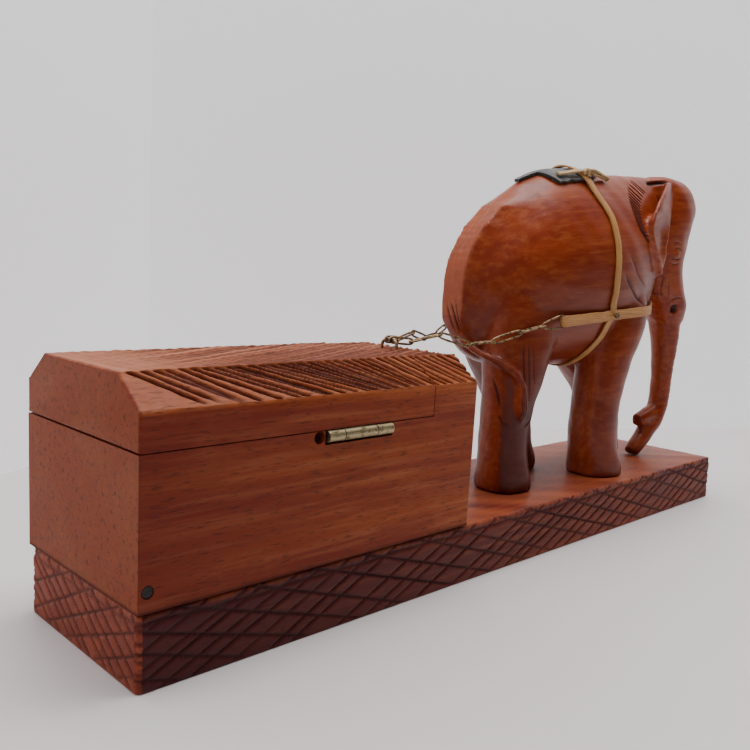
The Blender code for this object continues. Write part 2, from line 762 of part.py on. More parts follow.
def filled_points(points, spacing):
    """The points, with more between them wherever they stand further apart than spacing."""
    result = [points[0]]
    for near, far in zip(points, points[1:]):
        parts = math.ceil((far - near).length / spacing)
        result += [near.lerp(far, k / parts) for k in range(1, parts + 1)]
    return result


def band(name, path, outward, width, closed, material):
    """A flat strap along path: outward gives its thin direction at each point."""
    bm = bmesh.new()
    rows = []
    last = len(path) - 1
    for i, (point, thin) in enumerate(zip(path, outward)):
        if closed:
            ahead = path[(i + 1) % len(path)] - path[i - 1]
        else:
            ahead = path[min(i + 1, last)] - path[max(i - 1, 0)]
        wide = thin.cross(ahead).normalized() * width / 2
        t = thin * STRAP_THICKNESS / 2
        rows.append([
            bm.verts.new(corner) for corner in
            (point - t - wide, point + t - wide, point + t + wide, point - t + wide)
        ])
    pairs = list(zip(rows, rows[1:] + ([rows[0]] if closed else [])))
    for near, far in pairs:
        for i in range(4):
            j = (i + 1) % 4
            bm.faces.new((near[i], near[j], far[j], far[i]))
    if not closed:
        bm.faces.new(rows[0])
        bm.faces.new(rows[-1])
    return add_object(name, mesh_from(name, bm), material)


def make_girth(elephant, pad, breast):
    """The girth strap: a closed band round the body behind the front legs.

    It lies over the pad, and over the breast strap where it crosses it on each side.
    """
    centre = place(GIRTH_U, 0.0, GIRTH_W)
    across, along, ahead = turn(0, 1, 0), turn(0, 0, 1), turn(1, 0, 0)
    trees = [tree_of(elephant), tree_of(pad)]
    points = outline(trees, centre, across, along, GIRTH_WIDTH)
    points = even_points(points, GIRTH_STEP, closed=True)
    path, outward = [], []
    for i, point in enumerate(points):
        chord = points[(i + 1) % len(points)] - points[i - 1]
        normal = Vector((chord.y, -chord.x)).normalized()
        if normal.dot(point) < 0:
            normal = -normal
        out = across * normal.x + along * normal.y
        spot = centre + across * point.x + along * point.y
        spot += ahead * interpolate(GIRTH_SHIFT, GIRTH_W + point.y)
        hits = [tree.ray_cast(spot + out * 0.03, -out)[3] for tree in trees]
        spot += out * max(0.0, 0.03 - min(distance for distance in hits if distance is not None))
        over_strap = abs(GIRTH_W + point.y - BREAST_W) < BREAST_WIDTH / 2 + GIRTH_STEP
        spot += out * (STRAP_LIFT + STRAP_THICKNESS / 2)
        if over_strap:
            sideways = across * math.copysign(1.0, point.x)
            start = place(CROSSING_U, 0.0, BREAST_W) + sideways * 0.06
            reach = 0.06 - tree_of(breast).ray_cast(start, -sideways)[3]
            reach += CROSSING_GAP + STRAP_THICKNESS / 2
            spot += sideways * max(0.0, reach - (spot - centre).dot(sideways))
        outward.append(out)
        path.append(spot)
    return band("girth_strap", path, outward, GIRTH_WIDTH, True, CANE)


def breast_strap_line(hull, right_eye, left_eye, middle):
    """The taut line midway between the doubled strap's layers, from eye to eye, in 2D."""
    points = [right_eye, left_eye]
    for i, point in enumerate(hull):
        chord = hull[(i + 1) % len(hull)] - hull[i - 1]
        normal = Vector((chord.y, -chord.x)).normalized()
        if normal.dot(point) < 0:
            normal = -normal
        if point.x > right_eye.x + CHEST_START:
            points.append(point + normal * middle)
    around = [points[i] for i in convex_hull_2d(points)]
    first = around.index(right_eye)
    around = around[first:] + around[:first]
    if around[1] == left_eye:
        around = around[:1] + around[1:][::-1]
    return around


def make_breast_strap(elephant):
    """The breast strap: round the chest, each end folded back on itself round an eye."""
    centre = place(BREAST_U, 0.0, BREAST_W)
    ahead, left = turn(1, 0, BREAST_SLOPE).normalized(), turn(0, 1, 0)
    hull = outline([tree_of(elephant)], centre, ahead, left, BREAST_WIDTH)
    spread = (STRAP_THICKNESS + GAP) / 2
    eyes = []
    for joints in (CHAIN_RIGHT, CHAIN_LEFT):
        last, before = Vector(joints[-1]), Vector(joints[-2])
        offset = last + (last - before).normalized() * LINK_OVERLAP / 2 - centre
        eyes.append(Vector((offset.dot(ahead), offset.dot(left))))
    middle = STRAP_LIFT + STRAP_THICKNESS / 2 + spread
    line = breast_strap_line(hull, eyes[0], eyes[1], middle)
    line = filled_points(line, BREAST_STEP)
    count = len(line)
    layers = {"outer": [], "inner": []}
    for i, point in enumerate(line):
        chord = line[min(i + 1, count - 1)] - line[max(i - 1, 0)]
        normal = Vector((chord.y, -chord.x)).normalized()
        reach = min((point - eye).length for eye in eyes)
        half = spread + (EYE_RADIUS - spread) * max(0.0, 1 - reach / EYE_TAPER)
        fade = min(1.0, max(0.0, (point.x + BREAST_U - DOUBLED_TO) / FOLD_FADE))
        layers["outer"].append(point + normal * (half - 2 * spread * fade))
        doubled = point.x + BREAST_U < DOUBLED_TO
        layers["inner"].append(point - normal * half if doubled else None)
    path = []
    half_count = count // 2
    path += [p for p in layers["inner"][1:half_count][::-1] if p is not None]
    path += eye_arc(eyes[0], line[1] - line[0], 1)
    path += layers["outer"][1:-1]
    path += eye_arc(eyes[1], line[-2] - line[-1], -1)[::-1]
    path += [p for p in layers["inner"][half_count:-1][::-1] if p is not None]
    outward = []
    for i in range(len(path)):
        chord = path[min(i + 1, len(path) - 1)] - path[max(i - 1, 0)]
        outward.append((ahead * chord.y - left * chord.x).normalized())
    path = [centre + ahead * point.x + left * point.y for point in path]
    return band("breast_strap", path, outward, BREAST_WIDTH, False, CANE)


def eye_arc(eye, ahead, sign):
    """Half a circle behind an eye, from the inner layer's side to the outer one's, in 2D."""
    ahead = ahead.normalized()
    outward = Vector((ahead.y, -ahead.x)) * sign
    arc = []
    for step in range(7):
        angle = math.pi * (step / 6 - 0.5)
        arc.append(eye - ahead * EYE_RADIUS * math.cos(angle)
                   + outward * EYE_RADIUS * math.sin(angle))
    return arc


def make_tie(trees):
    """The strip that ties pad and girth together: laid over both, along the back."""
    normal = turn(0, *TIE_LEAN).normalized()
    ahead = turn(1, 0, 0)
    level = normal.cross(ahead)
    middle = place(CROSSING_U, TIE_V, 0.120)
    heights = []
    for i in range(TIE_SAMPLES + 1):
        reach = TIE_START + (TIE_END - TIE_START) * i / TIE_SAMPLES
        best = None
        for offset in (-TIE_WIDTH / 2, 0.0, TIE_WIDTH / 2):
            start = middle + ahead * reach + level * offset + normal * TIE_CLEAR
            for tree in trees:
                distance = tree.ray_cast(start, -normal)[3]
                if distance is not None:
                    height = TIE_CLEAR - distance
                    best = height if best is None else max(best, height)
        heights.append(Vector((reach, best)))
    floor = [Vector((heights[0].x, -TIE_CLEAR)), Vector((heights[-1].x, -TIE_CLEAR))]
    cloud = heights + floor
    taut = [cloud[i] for i in convex_hull_2d(cloud)]
    taut = sorted((point for point in taut if point.y > -TIE_CLEAR / 2), key=lambda point: point.x)
    path, outward = [], []
    points = even_points(taut, TIE_STEP, closed=False)
    for i, point in enumerate(points):
        chord = points[min(i + 1, len(points) - 1)] - points[max(i - 1, 0)]
        out = (normal * chord.x - ahead * chord.y).normalized()
        outward.append(out)
        path.append(middle + ahead * point.x + normal * point.y + out * TIE_LIFT)
    return band("pad_tie", path, outward, TIE_WIDTH, False, CANE)


def make_strap_nail(name, sign, elephant, girth, breast):
    """A round-headed nail through both straps into the elephant's side."""
    start = place(CROSSING_U, sign * 0.06, BREAST_W)
    inward = turn(0, -sign, 0)
    surface = tree_of(girth).ray_cast(start, inward)[0]
    nail(
        name, surface + inward * 0.0080, surface - inward * 0.0012, 0.0006, 0.0012, 0.0006,
        BRONZE_WIRE, (girth, breast, elephant),
    )


# ---------------------------------------------------------------- chains

def link_outline(length, near_width, far_width):
    """A closed loop of wire, its four corners rounded: points in a plane, x along the link."""
    near = LINK_WIDTH / 2 - CORNER_SLACK
    far = WIDE_END_CORNER if far_width > near_width else near
    corners = (
        (0.0, -near_width / 2, math.pi, near), (length, -far_width / 2, 1.5 * math.pi, far),
        (length, far_width / 2, 0.0, far), (0.0, near_width / 2, 0.5 * math.pi, near),
    )
    points = []
    for x, y, start, corner in corners:
        middle_x = x + (corner if x == 0.0 else -corner)
        middle_y = y - math.copysign(corner, y)
        for step in range(4):
            angle = start + 0.5 * math.pi * step / 3
            points.append(
                (middle_x + corner * math.cos(angle), middle_y + corner * math.sin(angle))
            )
    return points


def make_chain(name, joints):
    """Seven wire links from joint to joint, every second one turned a quarter."""
    joints = [Vector(joint) for joint in joints]
    for number, (near, far) in enumerate(zip(joints, joints[1:]), start=1):
        ahead = (far - near).normalized()
        level = Vector((0, 0, 1)).cross(ahead).normalized()
        upward = ahead.cross(level)
        across = upward if number % 2 else level
        length = (far - near).length + LINK_OVERLAP
        last = number == len(joints) - 1
        loop = link_outline(length, LINK_WIDTH, WIDE_END if last else LINK_WIDTH)
        start = near - ahead * LINK_OVERLAP / 2
        points = [start + ahead * x + across * y for x, y in loop]
        wire(f"{name}_{number}", points, WIRE_RADIUS, BRONZE_WIRE, closed=True)


def make_staple(log):
    """The wire staple in the log's end block that both chains hook on to."""
    half = STAPLE_SPAN / 2
    points = [(STAPLE.x, -half, STAPLE.z - STAPLE_DEPTH)]
    for step in range(9):
        angle = math.pi * step / 8
        points.append((
            STAPLE.x, -half * math.copysign(abs(math.cos(angle)) ** 0.7, math.cos(angle)),
            STAPLE.z + STAPLE_RISE * math.sin(angle) ** 0.7,
        ))
    points.append((STAPLE.x, half, STAPLE.z - STAPLE_DEPTH))
    wire("chain_staple", points, STAPLE_WIRE, BRONZE_WIRE)
    for number, y in enumerate((-half, half), start=1):
        boolean(log, rod(
            f"staple_hole_{number}", (STAPLE.x, y, STAPLE.z - STAPLE_DEPTH - GAP),
            (STAPLE.x, y, STAPLE.z + 0.001), STAPLE_WIRE + GAP, None, CUTTERS, 12,
        ))


# ---------------------------------------------------------------- joints

def hang_on(joint, point, names):
    """Parents the pieces that move together to an empty on their joint's axis."""
    pivot = bpy.data.objects.new(joint, None)
    pivot.location = point
    PARTS.objects.link(pivot)
    for name in names:
        piece = bpy.data.objects[name]
        piece.parent = pivot
        piece.matrix_parent_inverse = Matrix.Translation(point).inverted()


def make_joints():
    """The lid swings on its hinge's pin, each chain on its first point."""
    hinge_middle = HINGE_START + sum(KNUCKLES) / 2
    hang_on(
        "lid_hinge", Vector((hinge_middle, HINGE_AXIS.y, HINGE_AXIS.z)),
        ("log_lid", "hinge_leaf_lid", "hinge_nail_lid_1", "hinge_nail_lid_2"),
    )
    for side, joints in (("right", CHAIN_RIGHT), ("left", CHAIN_LEFT)):
        links = [f"chain_link_{side}_{number}" for number in range(1, len(joints))]
        hang_on(f"chain_{side}_swing", Vector(joints[0]), links)


def main():
    base = make_base()
    log, lid = make_log()
    make_hinge(log, lid)
    make_staple(log)
    make_chain("chain_link_right", CHAIN_RIGHT)
    make_chain("chain_link_left", CHAIN_LEFT)
    elephant = make_elephant()
    pad = make_pad(elephant)
    breast = make_breast_strap(elephant)
    girth = make_girth(elephant, pad, breast)
    make_tie([tree_of(obj) for obj in (elephant, pad, girth)])
    make_strap_nail("strap_nail_right", -1, elephant, girth, breast)
    make_strap_nail("strap_nail_left", 1, elephant, girth, breast)
    for number, x in enumerate(LOG_SCREWS, start=1):
        base_screw(f"log_screw_{number}", x, 0.0, SCREW_LENGTH, (base, log))
    feet = (
        ("right_hind", RIGHT_HIND[0], -HIND_LEG[0][1]), ("left_hind", LEFT_HIND[0], HIND_LEG[0][1]),
        ("right_front", RIGHT_FRONT[0], -FRONT_LEG[0][1]),
        ("left_front", LEFT_FRONT[0], FRONT_LEG[0][1]),
    )
    for name, u, v in feet:
        foot = place(u, v, 0.0)
        base_screw(f"foot_screw_{name}", foot.x, foot.y, FOOT_SCREW_LENGTH, (base, elephant))
    make_log_plug(log)
    make_joints()


main()
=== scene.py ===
"""The looks of a carved wooden elephant that hauls a log box by two wire chains.

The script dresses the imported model: it carves the elephant, the plank and the log anew as
fine surfaces round the same sizes, twists the wire chains, lays the harness and the pad on
the elephant's back, and gives every piece its finish. Metres, +Z up, +X the way the elephant
walks. The elephant's own frame is u forward, v to its left and w up from the plank.
"""

import logging
import math
from dataclasses import dataclass, field
from enum import Enum, IntEnum
from typing import Any, Iterable, Sequence

import bmesh
import bpy
import numpy as np
from mathutils import Matrix, Vector
from mathutils.bvhtree import BVHTree
from mathutils.geometry import convex_hull_2d


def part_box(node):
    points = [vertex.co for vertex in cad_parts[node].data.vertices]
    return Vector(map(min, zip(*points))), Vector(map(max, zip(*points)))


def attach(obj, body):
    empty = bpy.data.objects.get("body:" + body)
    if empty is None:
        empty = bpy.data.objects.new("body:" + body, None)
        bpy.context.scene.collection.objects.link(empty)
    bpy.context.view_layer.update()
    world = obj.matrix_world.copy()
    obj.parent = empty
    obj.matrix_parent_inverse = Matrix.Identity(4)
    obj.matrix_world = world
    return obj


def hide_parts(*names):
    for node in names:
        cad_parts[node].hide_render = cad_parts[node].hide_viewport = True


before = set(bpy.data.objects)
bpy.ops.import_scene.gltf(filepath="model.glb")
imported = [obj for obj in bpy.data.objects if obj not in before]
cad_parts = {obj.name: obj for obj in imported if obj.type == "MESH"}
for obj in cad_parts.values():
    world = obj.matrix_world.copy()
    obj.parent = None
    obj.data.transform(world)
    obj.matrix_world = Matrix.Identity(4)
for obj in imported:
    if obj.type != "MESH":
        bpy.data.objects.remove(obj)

log = logging.getLogger("carved_elephant")

Colour = tuple[float, float, float]
Point = tuple[float, float, float]
Surface = tuple[np.ndarray, list[list[int]]]

MM = 0.001


# ---------------------------------------------------------------- shader tools

class Socket:
    """An output in a material's tree. Python's operators on it add Math nodes."""

    def __init__(self, nodes: "Nodes", out: bpy.types.NodeSocket) -> None:
        """Keeps the tree and the output."""
        self.nodes = nodes
        self.out = out

    def math(self, operation: str, other: Any = 0.0, swap: bool = False) -> "Socket":
        """One Math node on this value.

        Args:
            operation: the node's operation.
            other: the second value, a number or a Socket.
            swap: whether other comes first.

        Returns:
            The node's output.
        """
        first, second = (other, self) if swap else (self, other)
        return self.nodes.add("ShaderNodeMath", {"operation": operation}, {0: first, 1: second})

    def __add__(self, other: Any) -> "Socket":
        """self + other."""
        return self.math("ADD", other)

    __radd__ = __add__

    def __sub__(self, other: Any) -> "Socket":
        """self - other."""
        return self.math("SUBTRACT", other)

    def __rsub__(self, other: Any) -> "Socket":
        """other - self."""
        return self.math("SUBTRACT", other, swap=True)

    def __mul__(self, other: Any) -> "Socket":
        """self * other."""
        return self.math("MULTIPLY", other)

    __rmul__ = __mul__

    def __abs__(self) -> "Socket":
        """abs(self)."""
        return self.math("ABSOLUTE")

    def between(self, low: float, high: float) -> "Socket":
        """A smooth step.

        Args:
            low, high: the values at which it is 0 and 1.

        Returns:
            0 below low, 1 above high, and a smooth step between them.
        """
        return self.nodes.add(
            "ShaderNodeMapRange", {"interpolation_type": "SMOOTHSTEP"},
            {"Value": self, "From Min": low, "From Max": high},
        )


class Nodes:
    """A new material and its tree, to which one method adds every node."""

    def __init__(self, name: str) -> None:
        """Makes the material, with its Principled shader."""
        self.material = bpy.data.materials.new(name)
        self.material.use_nodes = True
        self.tree = self.material.node_tree
        self.shader = self.tree.nodes["Principled BSDF"]

    def fill(self, node: bpy.types.Node, inputs: dict[Any, Any]) -> None:
        """Sets or links a node's inputs.

        Args:
            node: the node.
            inputs: a value or a Socket for each input's name or number.
        """
        for key, value in inputs.items():
            if isinstance(value, Socket):
                self.tree.links.new(value.out, node.inputs[key])
            else:
                node.inputs[key].default_value = value

    def add(
        self, kind: str, settings: dict[str, Any] | None = None,
        inputs: dict[Any, Any] | None = None, output: int | str = 0,
    ) -> Socket:
        """Adds a node.

        Args:
            kind: the node's type.
            settings: its properties, set first.
            inputs: values or Sockets for its inputs.
            output: which output is wanted.

        Returns:
            That output.
        """
        node = self.tree.nodes.new(kind)
        for key, value in (settings or {}).items():
            setattr(node, key, value)
        self.fill(node, inputs or {})
        return Socket(self, node.outputs[output])

    def coordinates(self, output: str = "Object") -> Socket:
        """The piece's own coordinates, which are the model's at rest, or its Normal."""
        return self.add("ShaderNodeTexCoord", output=output)

    def stretched(self, vector: Socket, scale: Point, turn: Point = (0, 0, 0)) -> Socket:
        """Turns coordinates, then scales them.

        Args:
            vector: the coordinates.
            scale: the factor along each axis.
            turn: the angle about each axis.

        Returns:
            The new coordinates.
        """
        turned = self.add("ShaderNodeMapping", {}, {"Vector": vector, "Rotation": turn})
        return self.add("ShaderNodeMapping", {}, {"Vector": turned, "Scale": scale})

    def noise(self, vector: Socket, scale: float = 1.0, detail: float = 3.0) -> Socket:
        """Noise.

        Args:
            vector: where it is read.
            scale: about how many of its lumps fit in one unit of the vector.
            detail: how many finer layers it has.

        Returns:
            A value about 0.5.
        """
        return self.add(
            "ShaderNodeTexNoise", {},
            {"Vector": vector, "Scale": scale, "Detail": detail, "Roughness": 0.6},
        )

    def mix(self, factor: Any, first: Any, second: Any) -> Socket:
        """Mixes two colours.

        Args:
            factor: the share of the second, a number or a Socket.
            first, second: colours or Sockets.

        Returns:
            The mixed colour.
        """
        return self.add(
            "ShaderNodeMix", {"data_type": "RGBA", "clamp_factor": True},
            {0: factor, 6: opaque(first), 7: opaque(second)}, 2,
        )

    def attribute(self, name: str) -> Socket:
        """A number that the mesh holds at its points."""
        return self.add("ShaderNodeAttribute", {"attribute_name": name}, output="Fac")

    def bump(self, height: Socket, distance: float, strength: float) -> Socket:
        """A normal bent by this height."""
        return self.add(
            "ShaderNodeBump", {}, {"Height": height, "Distance": distance, "Strength": strength}
        )


def opaque(colour: Any) -> Any:
    """A colour with its alpha, or the Socket as it is."""
    return colour if isinstance(colour, Socket) else (*colour, 1.0)


class Grain(Enum):
    """Which way the wood's fibres run: the turn that brings them to X."""

    ALONG = (0.0, 0.0, 0.0)
    LEANING = (0.0, math.radians(4), math.radians(3))


@dataclass(frozen=True)
class WoodFinish:
    """Stained wood under worn wax: streaks and pores along the grain, dark grooves.

    The mesh attribute "groove" is 0 on the skin and 1 deep in a cut, and also 1 along lines of
    painted shade. The wear attribute is 1 where handling has rubbed the stain away, and also
    where light is painted on as a paler top. The third attribute is painted shade, 1 where it
    is darkest; thick is the colour of that painted shade.
    """

    name: str
    dark: Colour
    middle: Colour
    light: Colour
    cut: Colour
    end: Colour
    # thick is the colour of the painted shade
    thick: Colour
    grain: Grain = Grain.ALONG
    roughness: float = 0.40
    coat: float = 0.25
    coat_roughness: float = 0.28
    pore_strength: float = 0.55
    end_strength: float = 0.75
    specular: float = 0.22
    pit_strength: float = 0.5

    def material(self) -> bpy.types.Material:
        """Builds the material.

        Returns:
            The wood's material.
        """
        nodes = Nodes(self.name)
        place = nodes.coordinates()
        turn = self.grain.value
        drift = nodes.noise(nodes.stretched(place, (12.0, 40.0, 40.0), turn), 1.0, 2.0)
        streak = nodes.noise(nodes.stretched(place, (22.0, 480.0, 480.0), turn), 1.0, 5.0)
        band = nodes.noise(nodes.stretched(place, (6.0, 130.0, 130.0), turn), 1.0, 3.0)
        pore = nodes.noise(nodes.stretched(place, (230.0, 1900.0, 1900.0), turn), 1.0, 2.0)
        blotch = nodes.noise(place, 34.0, 4.0)
        fine = nodes.noise(place, 900.0, 3.0)
        facing = nodes.add(
            "ShaderNodeSeparateXYZ", {}, {0: nodes.coordinates("Normal")}, "X"
        )
        end = abs(facing).between(0.80, 0.97)
        groove = nodes.attribute("groove")
        wear_and_light = nodes.attribute("wear_and_light")
        pores = pore.between(0.56, 0.66) * self.pore_strength
        pits = nodes.noise(place, 620.0, 2.0).between(0.58, 0.66) * (end * self.pit_strength)

        colour = nodes.mix(band.between(0.35, 0.65), self.dark, self.middle)
        colour = nodes.mix(streak.between(0.42, 0.72) * 0.55, colour, self.light)
        colour = nodes.mix(drift.between(0.40, 0.70) * 0.35, colour, self.dark)
        colour = nodes.mix(blotch.between(0.50, 0.75) * 0.25, colour, self.light)
        colour = nodes.mix(end * self.end_strength, colour, self.end)
        colour = nodes.mix(blotch.between(0.45, 0.60) * end * 0.35, colour, self.dark)
        # painted shade: darker where the painted shade share is high, in the colour thick
        colour = nodes.mix(nodes.attribute("painted_shade") * (1.0 - end), colour, self.thick)
        # real wear on rubbed edges, and painted light on tops and chamfers, both towards the light
        # colour
        colour = nodes.mix(wear_and_light * 0.75, colour, self.light)
        colour = nodes.mix(pores, colour, self.cut)
        colour = nodes.mix(pits, colour, self.cut)
        colour = nodes.mix(groove * 0.9, colour, self.cut)

        rough = streak * 0.10 + (blotch * 0.16 + (groove * 0.25 + (self.roughness - 0.13)))
        rough = rough + end * 0.15
        height = streak * 0.5 + (fine * 0.25 - (pores * 1.2 + pits * 1.5))
        nodes.fill(nodes.shader, {
            "Base Color": colour, "Roughness": rough, "Coat Weight": self.coat,
            "Coat Roughness": self.coat_roughness, "Specular IOR Level": self.specular,
            "Normal": nodes.bump(height, 0.00012, 0.55),
        })
        return nodes.material


@dataclass(frozen=True)
class StrapFinish:
    """Split cane: pale fibres along the strap with brown soil in between.

    stretch is how fast the pattern changes along X, Y and Z: slow along the strap.
    """

    name: str
    pale: Colour
    brown: Colour
    stretch: Point
    roughness: float = 0.55

    def material(self) -> bpy.types.Material:
        """Builds the material.

        Returns:
            The strap's material.
        """
        nodes = Nodes(self.name)
        place = nodes.coordinates()
        fibre = nodes.noise(nodes.stretched(place, self.stretch), 1.0, 4.0)
        soil = nodes.noise(place, 160.0, 4.0)
        colour = nodes.mix(fibre.between(0.35, 0.62), self.brown, self.pale)
        colour = nodes.mix(soil.between(0.52, 0.72) * 0.7, colour, self.brown)
        colour = nodes.mix(nodes.attribute("groove") * 0.8, colour, self.brown)
        height = fibre * 1.0 + nodes.noise(place, 1500.0, 2.0) * 0.4
        nodes.fill(nodes.shader, {
            "Base Color": colour, "Roughness": soil * 0.2 + (self.roughness - 0.1),
            "Coat Weight": 0.12, "Coat Roughness": 0.4,
            "Normal": nodes.bump(height, 0.00015, 0.6),
        })
        return nodes.material


@dataclass(frozen=True)
class PadFinish:
    """Old black hide: fine pebbled grain, dusty and rubbed grey on top."""

    name: str
    black: Colour
    dust: Colour

    def material(self) -> bpy.types.Material:
        """Builds the material.

        Returns:
            The pad's material.
        """
        nodes = Nodes(self.name)
        place = nodes.coordinates()
        pebble = nodes.add(
            "ShaderNodeTexVoronoi", {}, {"Vector": place, "Scale": 1500.0}, "Distance"
        )
        dust = nodes.noise(place, 220.0, 4.0)
        up = nodes.add("ShaderNodeSeparateXYZ", {}, {0: nodes.coordinates("Normal")}, "Z")
        colour = nodes.mix(
            dust.between(0.35, 0.70) * up.between(0.2, 0.9), self.black, self.dust
        )
        nodes.fill(nodes.shader, {
            "Base Color": colour, "Roughness": dust * 0.25 + 0.42, "Sheen Weight": 0.2,
            "Normal": nodes.bump(pebble, 0.0002, 0.5),
        })
        return nodes.material


@dataclass(frozen=True)
class MetalFinish:
    """Dull metal: mottled tarnish and fine scratches."""

    name: str
    bright: Colour
    tarnish: Colour
    amount: float = 0.5
    roughness: float = 0.42
    metallic: float = 1.0

    def material(self) -> bpy.types.Material:
        """Builds the material.

        Returns:
            The metal's material.
        """
        nodes = Nodes(self.name)
        place = nodes.coordinates()
        mottle = nodes.noise(place, 700.0, 5.0)
        scratch = nodes.noise(nodes.stretched(place, (250.0, 4000.0, 4000.0)), 1.0, 2.0)
        mask = mottle.between(0.62 - self.amount * 0.25, 0.72 - self.amount * 0.15)
        colour = nodes.mix(mask, self.bright, self.tarnish)
        nodes.fill(nodes.shader, {
            "Base Color": colour, "Metallic": self.metallic - mask * 0.35,
            "Roughness": mask * 0.25 + (scratch * 0.2 + (self.roughness - 0.1)),
            "Normal": nodes.bump(mottle + scratch * 0.5, 0.00006, 0.5),
        })
        return nodes.material


@dataclass(frozen=True)
class StageFinish:
    """A plain matt surface for the table and the backdrop.

    one_sided leaves the surface clear from behind, so that it hides nothing from there.
    glow is the light that it gives of itself.
    """

    name: str
    colour: Colour
    roughness: float
    one_sided: bool = False
    glow: float = 0.0

    def material(self) -> bpy.types.Material:
        """Builds the material.

        Returns:
            The surface's material.
        """
        nodes = Nodes(self.name)
        nodes.fill(nodes.shader, {
            "Base Color": (*self.colour, 1.0), "Roughness": self.roughness,
            "Emission Color": (*self.colour, 1.0), "Emission Strength": self.glow,
        })
        if self.one_sided:
            behind = nodes.add("ShaderNodeNewGeometry", output="Backfacing")
            clear = nodes.add("ShaderNodeBsdfTransparent")
            shown = Socket(nodes, nodes.shader.outputs[0])
            both = nodes.add("ShaderNodeMixShader", {}, {0: behind, 1: shown, 2: clear})
            target = nodes.tree.nodes["Material Output"].inputs["Surface"]
            nodes.tree.links.new(both.out, target)
        return nodes.material


# In each wood finish, thick is the colour of the painted shade.
RED_WOOD = WoodFinish(
    "stained_red_wood", dark=(0.210, 0.022, 0.0040), middle=(0.290, 0.042, 0.0065),
    light=(0.430, 0.110, 0.0260), cut=(0.030, 0.004, 0.003), end=(0.280, 0.055, 0.0150),
    thick=(0.060, 0.004, 0.004), grain=Grain.LEANING, roughness=0.38, coat=0.16,
    coat_roughness=0.25, pore_strength=0.18, end_strength=0.15, specular=0.24,
    pit_strength=0.0,
)
BASE_WOOD = WoodFinish(
    "stained_base_wood", dark=(0.120, 0.012, 0.007), middle=(0.210, 0.028, 0.009),
    light=(0.400, 0.095, 0.032), cut=(0.020, 0.003, 0.003), end=(0.280, 0.055, 0.022),
    thick=(0.050, 0.003, 0.005), roughness=0.48, coat=0.10, coat_roughness=0.32,
    pore_strength=0.35, end_strength=0.50, specular=0.20, pit_strength=0.3,
)
LOG_WOOD = WoodFinish(
    "stained_log_wood", dark=(0.200, 0.022, 0.003), middle=(0.290, 0.050, 0.004),
    light=(0.480, 0.150, 0.050), cut=(0.040, 0.005, 0.002), end=(0.200, 0.045, 0.012),
    thick=(0.110, 0.006, 0.004), roughness=0.50, coat=0.06, coat_roughness=0.35,
    pore_strength=0.50, end_strength=0.75, specular=0.18, pit_strength=0.55,
)
GIRTH_CANE = StrapFinish(
    "cane_across_the_body", (0.640, 0.350, 0.110), (0.380, 0.160, 0.040), (2600.0, 90.0, 90.0)
)
BREAST_CANE = StrapFinish(
    "cane_round_the_breast", (0.620, 0.340, 0.110), (0.400, 0.160, 0.040), (90.0, 90.0, 2600.0)
)
TIE_CANE = StrapFinish(
    "cane_along_the_back", (0.640, 0.450, 0.230), (0.330, 0.190, 0.060), (90.0, 1800.0, 1800.0)
)
KNOT_CANE = StrapFinish(
    "cane_knot", (0.560, 0.370, 0.150), (0.220, 0.120, 0.035), (400.0, 900.0, 900.0)
)
PAD_HIDE = PadFinish("black_pad_hide", (0.012, 0.012, 0.012), (0.130, 0.120, 0.115))
BRASS = MetalFinish("dull_brass", (0.400, 0.330, 0.190), (0.160, 0.120, 0.060), 0.55, 0.42)
BRONZE = MetalFinish("dark_bronze_wire", (0.330, 0.215, 0.110), (0.060, 0.040, 0.025), 0.6, 0.40)
STEEL = MetalFinish("screw_steel", (0.480, 0.480, 0.480), (0.250, 0.230, 0.210), 0.3, 0.36)
PLUG = MetalFinish("dark_plug", (0.020, 0.016, 0.014), (0.008, 0.007, 0.006), 0.5, 0.55, 0.35)
TABLE = StageFinish("pale_table", (0.730, 0.690, 0.690), 0.50)
WALL = StageFinish("pale_wall", (0.800, 0.795, 0.805), 0.80, True, 0.64)


# ---------------------------------------------------------------- mesh tools

def mesh_object(name: str, surface: Surface, material: bpy.types.Material) -> bpy.types.Object:
    """An object from points and faces, shaded smooth.

    Args:
        name: the piece's name.
        surface: its points and faces.
        material: its finish.

    Returns:
        The object, linked to the scene.
    """
    points, faces = surface
    mesh = bpy.data.meshes.new(name)
    mesh.from_pydata(points.tolist(), [], faces)
    mesh.materials.append(material)
    mesh.polygons.foreach_set("use_smooth", [len(face) < 9 for face in faces])
    obj = bpy.data.objects.new(name, mesh)
    bpy.context.scene.collection.objects.link(obj)
    return obj


def set_attribute(mesh: bpy.types.Mesh, name: str, values: np.ndarray) -> None:
    """Stores one number for each point."""
    layer = mesh.attributes.new(name, "FLOAT", "POINT")
    layer.data.foreach_set("value", values.astype(np.float32))


def points_of(mesh: bpy.types.Mesh) -> np.ndarray:
    """The mesh's points as rows."""
    points = np.empty(len(mesh.vertices) * 3, np.float32)
    mesh.vertices.foreach_get("co", points)
    return points.reshape(-1, 3).astype(float)


def set_points(mesh: bpy.types.Mesh, points: np.ndarray) -> None:
    """Puts the mesh's points at these rows."""
    mesh.vertices.foreach_set("co", points.astype(np.float32).ravel())
    mesh.update()


def grid_faces(rows: int, columns: int, wrap: bool) -> list[list[int]]:
    """Faces of a grid of points: each joins a point, the next one, and those a row on.

    Args:
        rows: rows of points.
        columns: points in a row.
        wrap: whether the last column joins the first.

    Returns:
        Lists of four point numbers.
    """
    i = np.arange(rows - 1)[:, None] * columns
    j = np.arange(columns if wrap else columns - 1)[None, :]
    k = (j + 1) % columns
    return np.stack([i + j, i + k, i + columns + k, i + columns + j], -1).reshape(-1, 4).tolist()


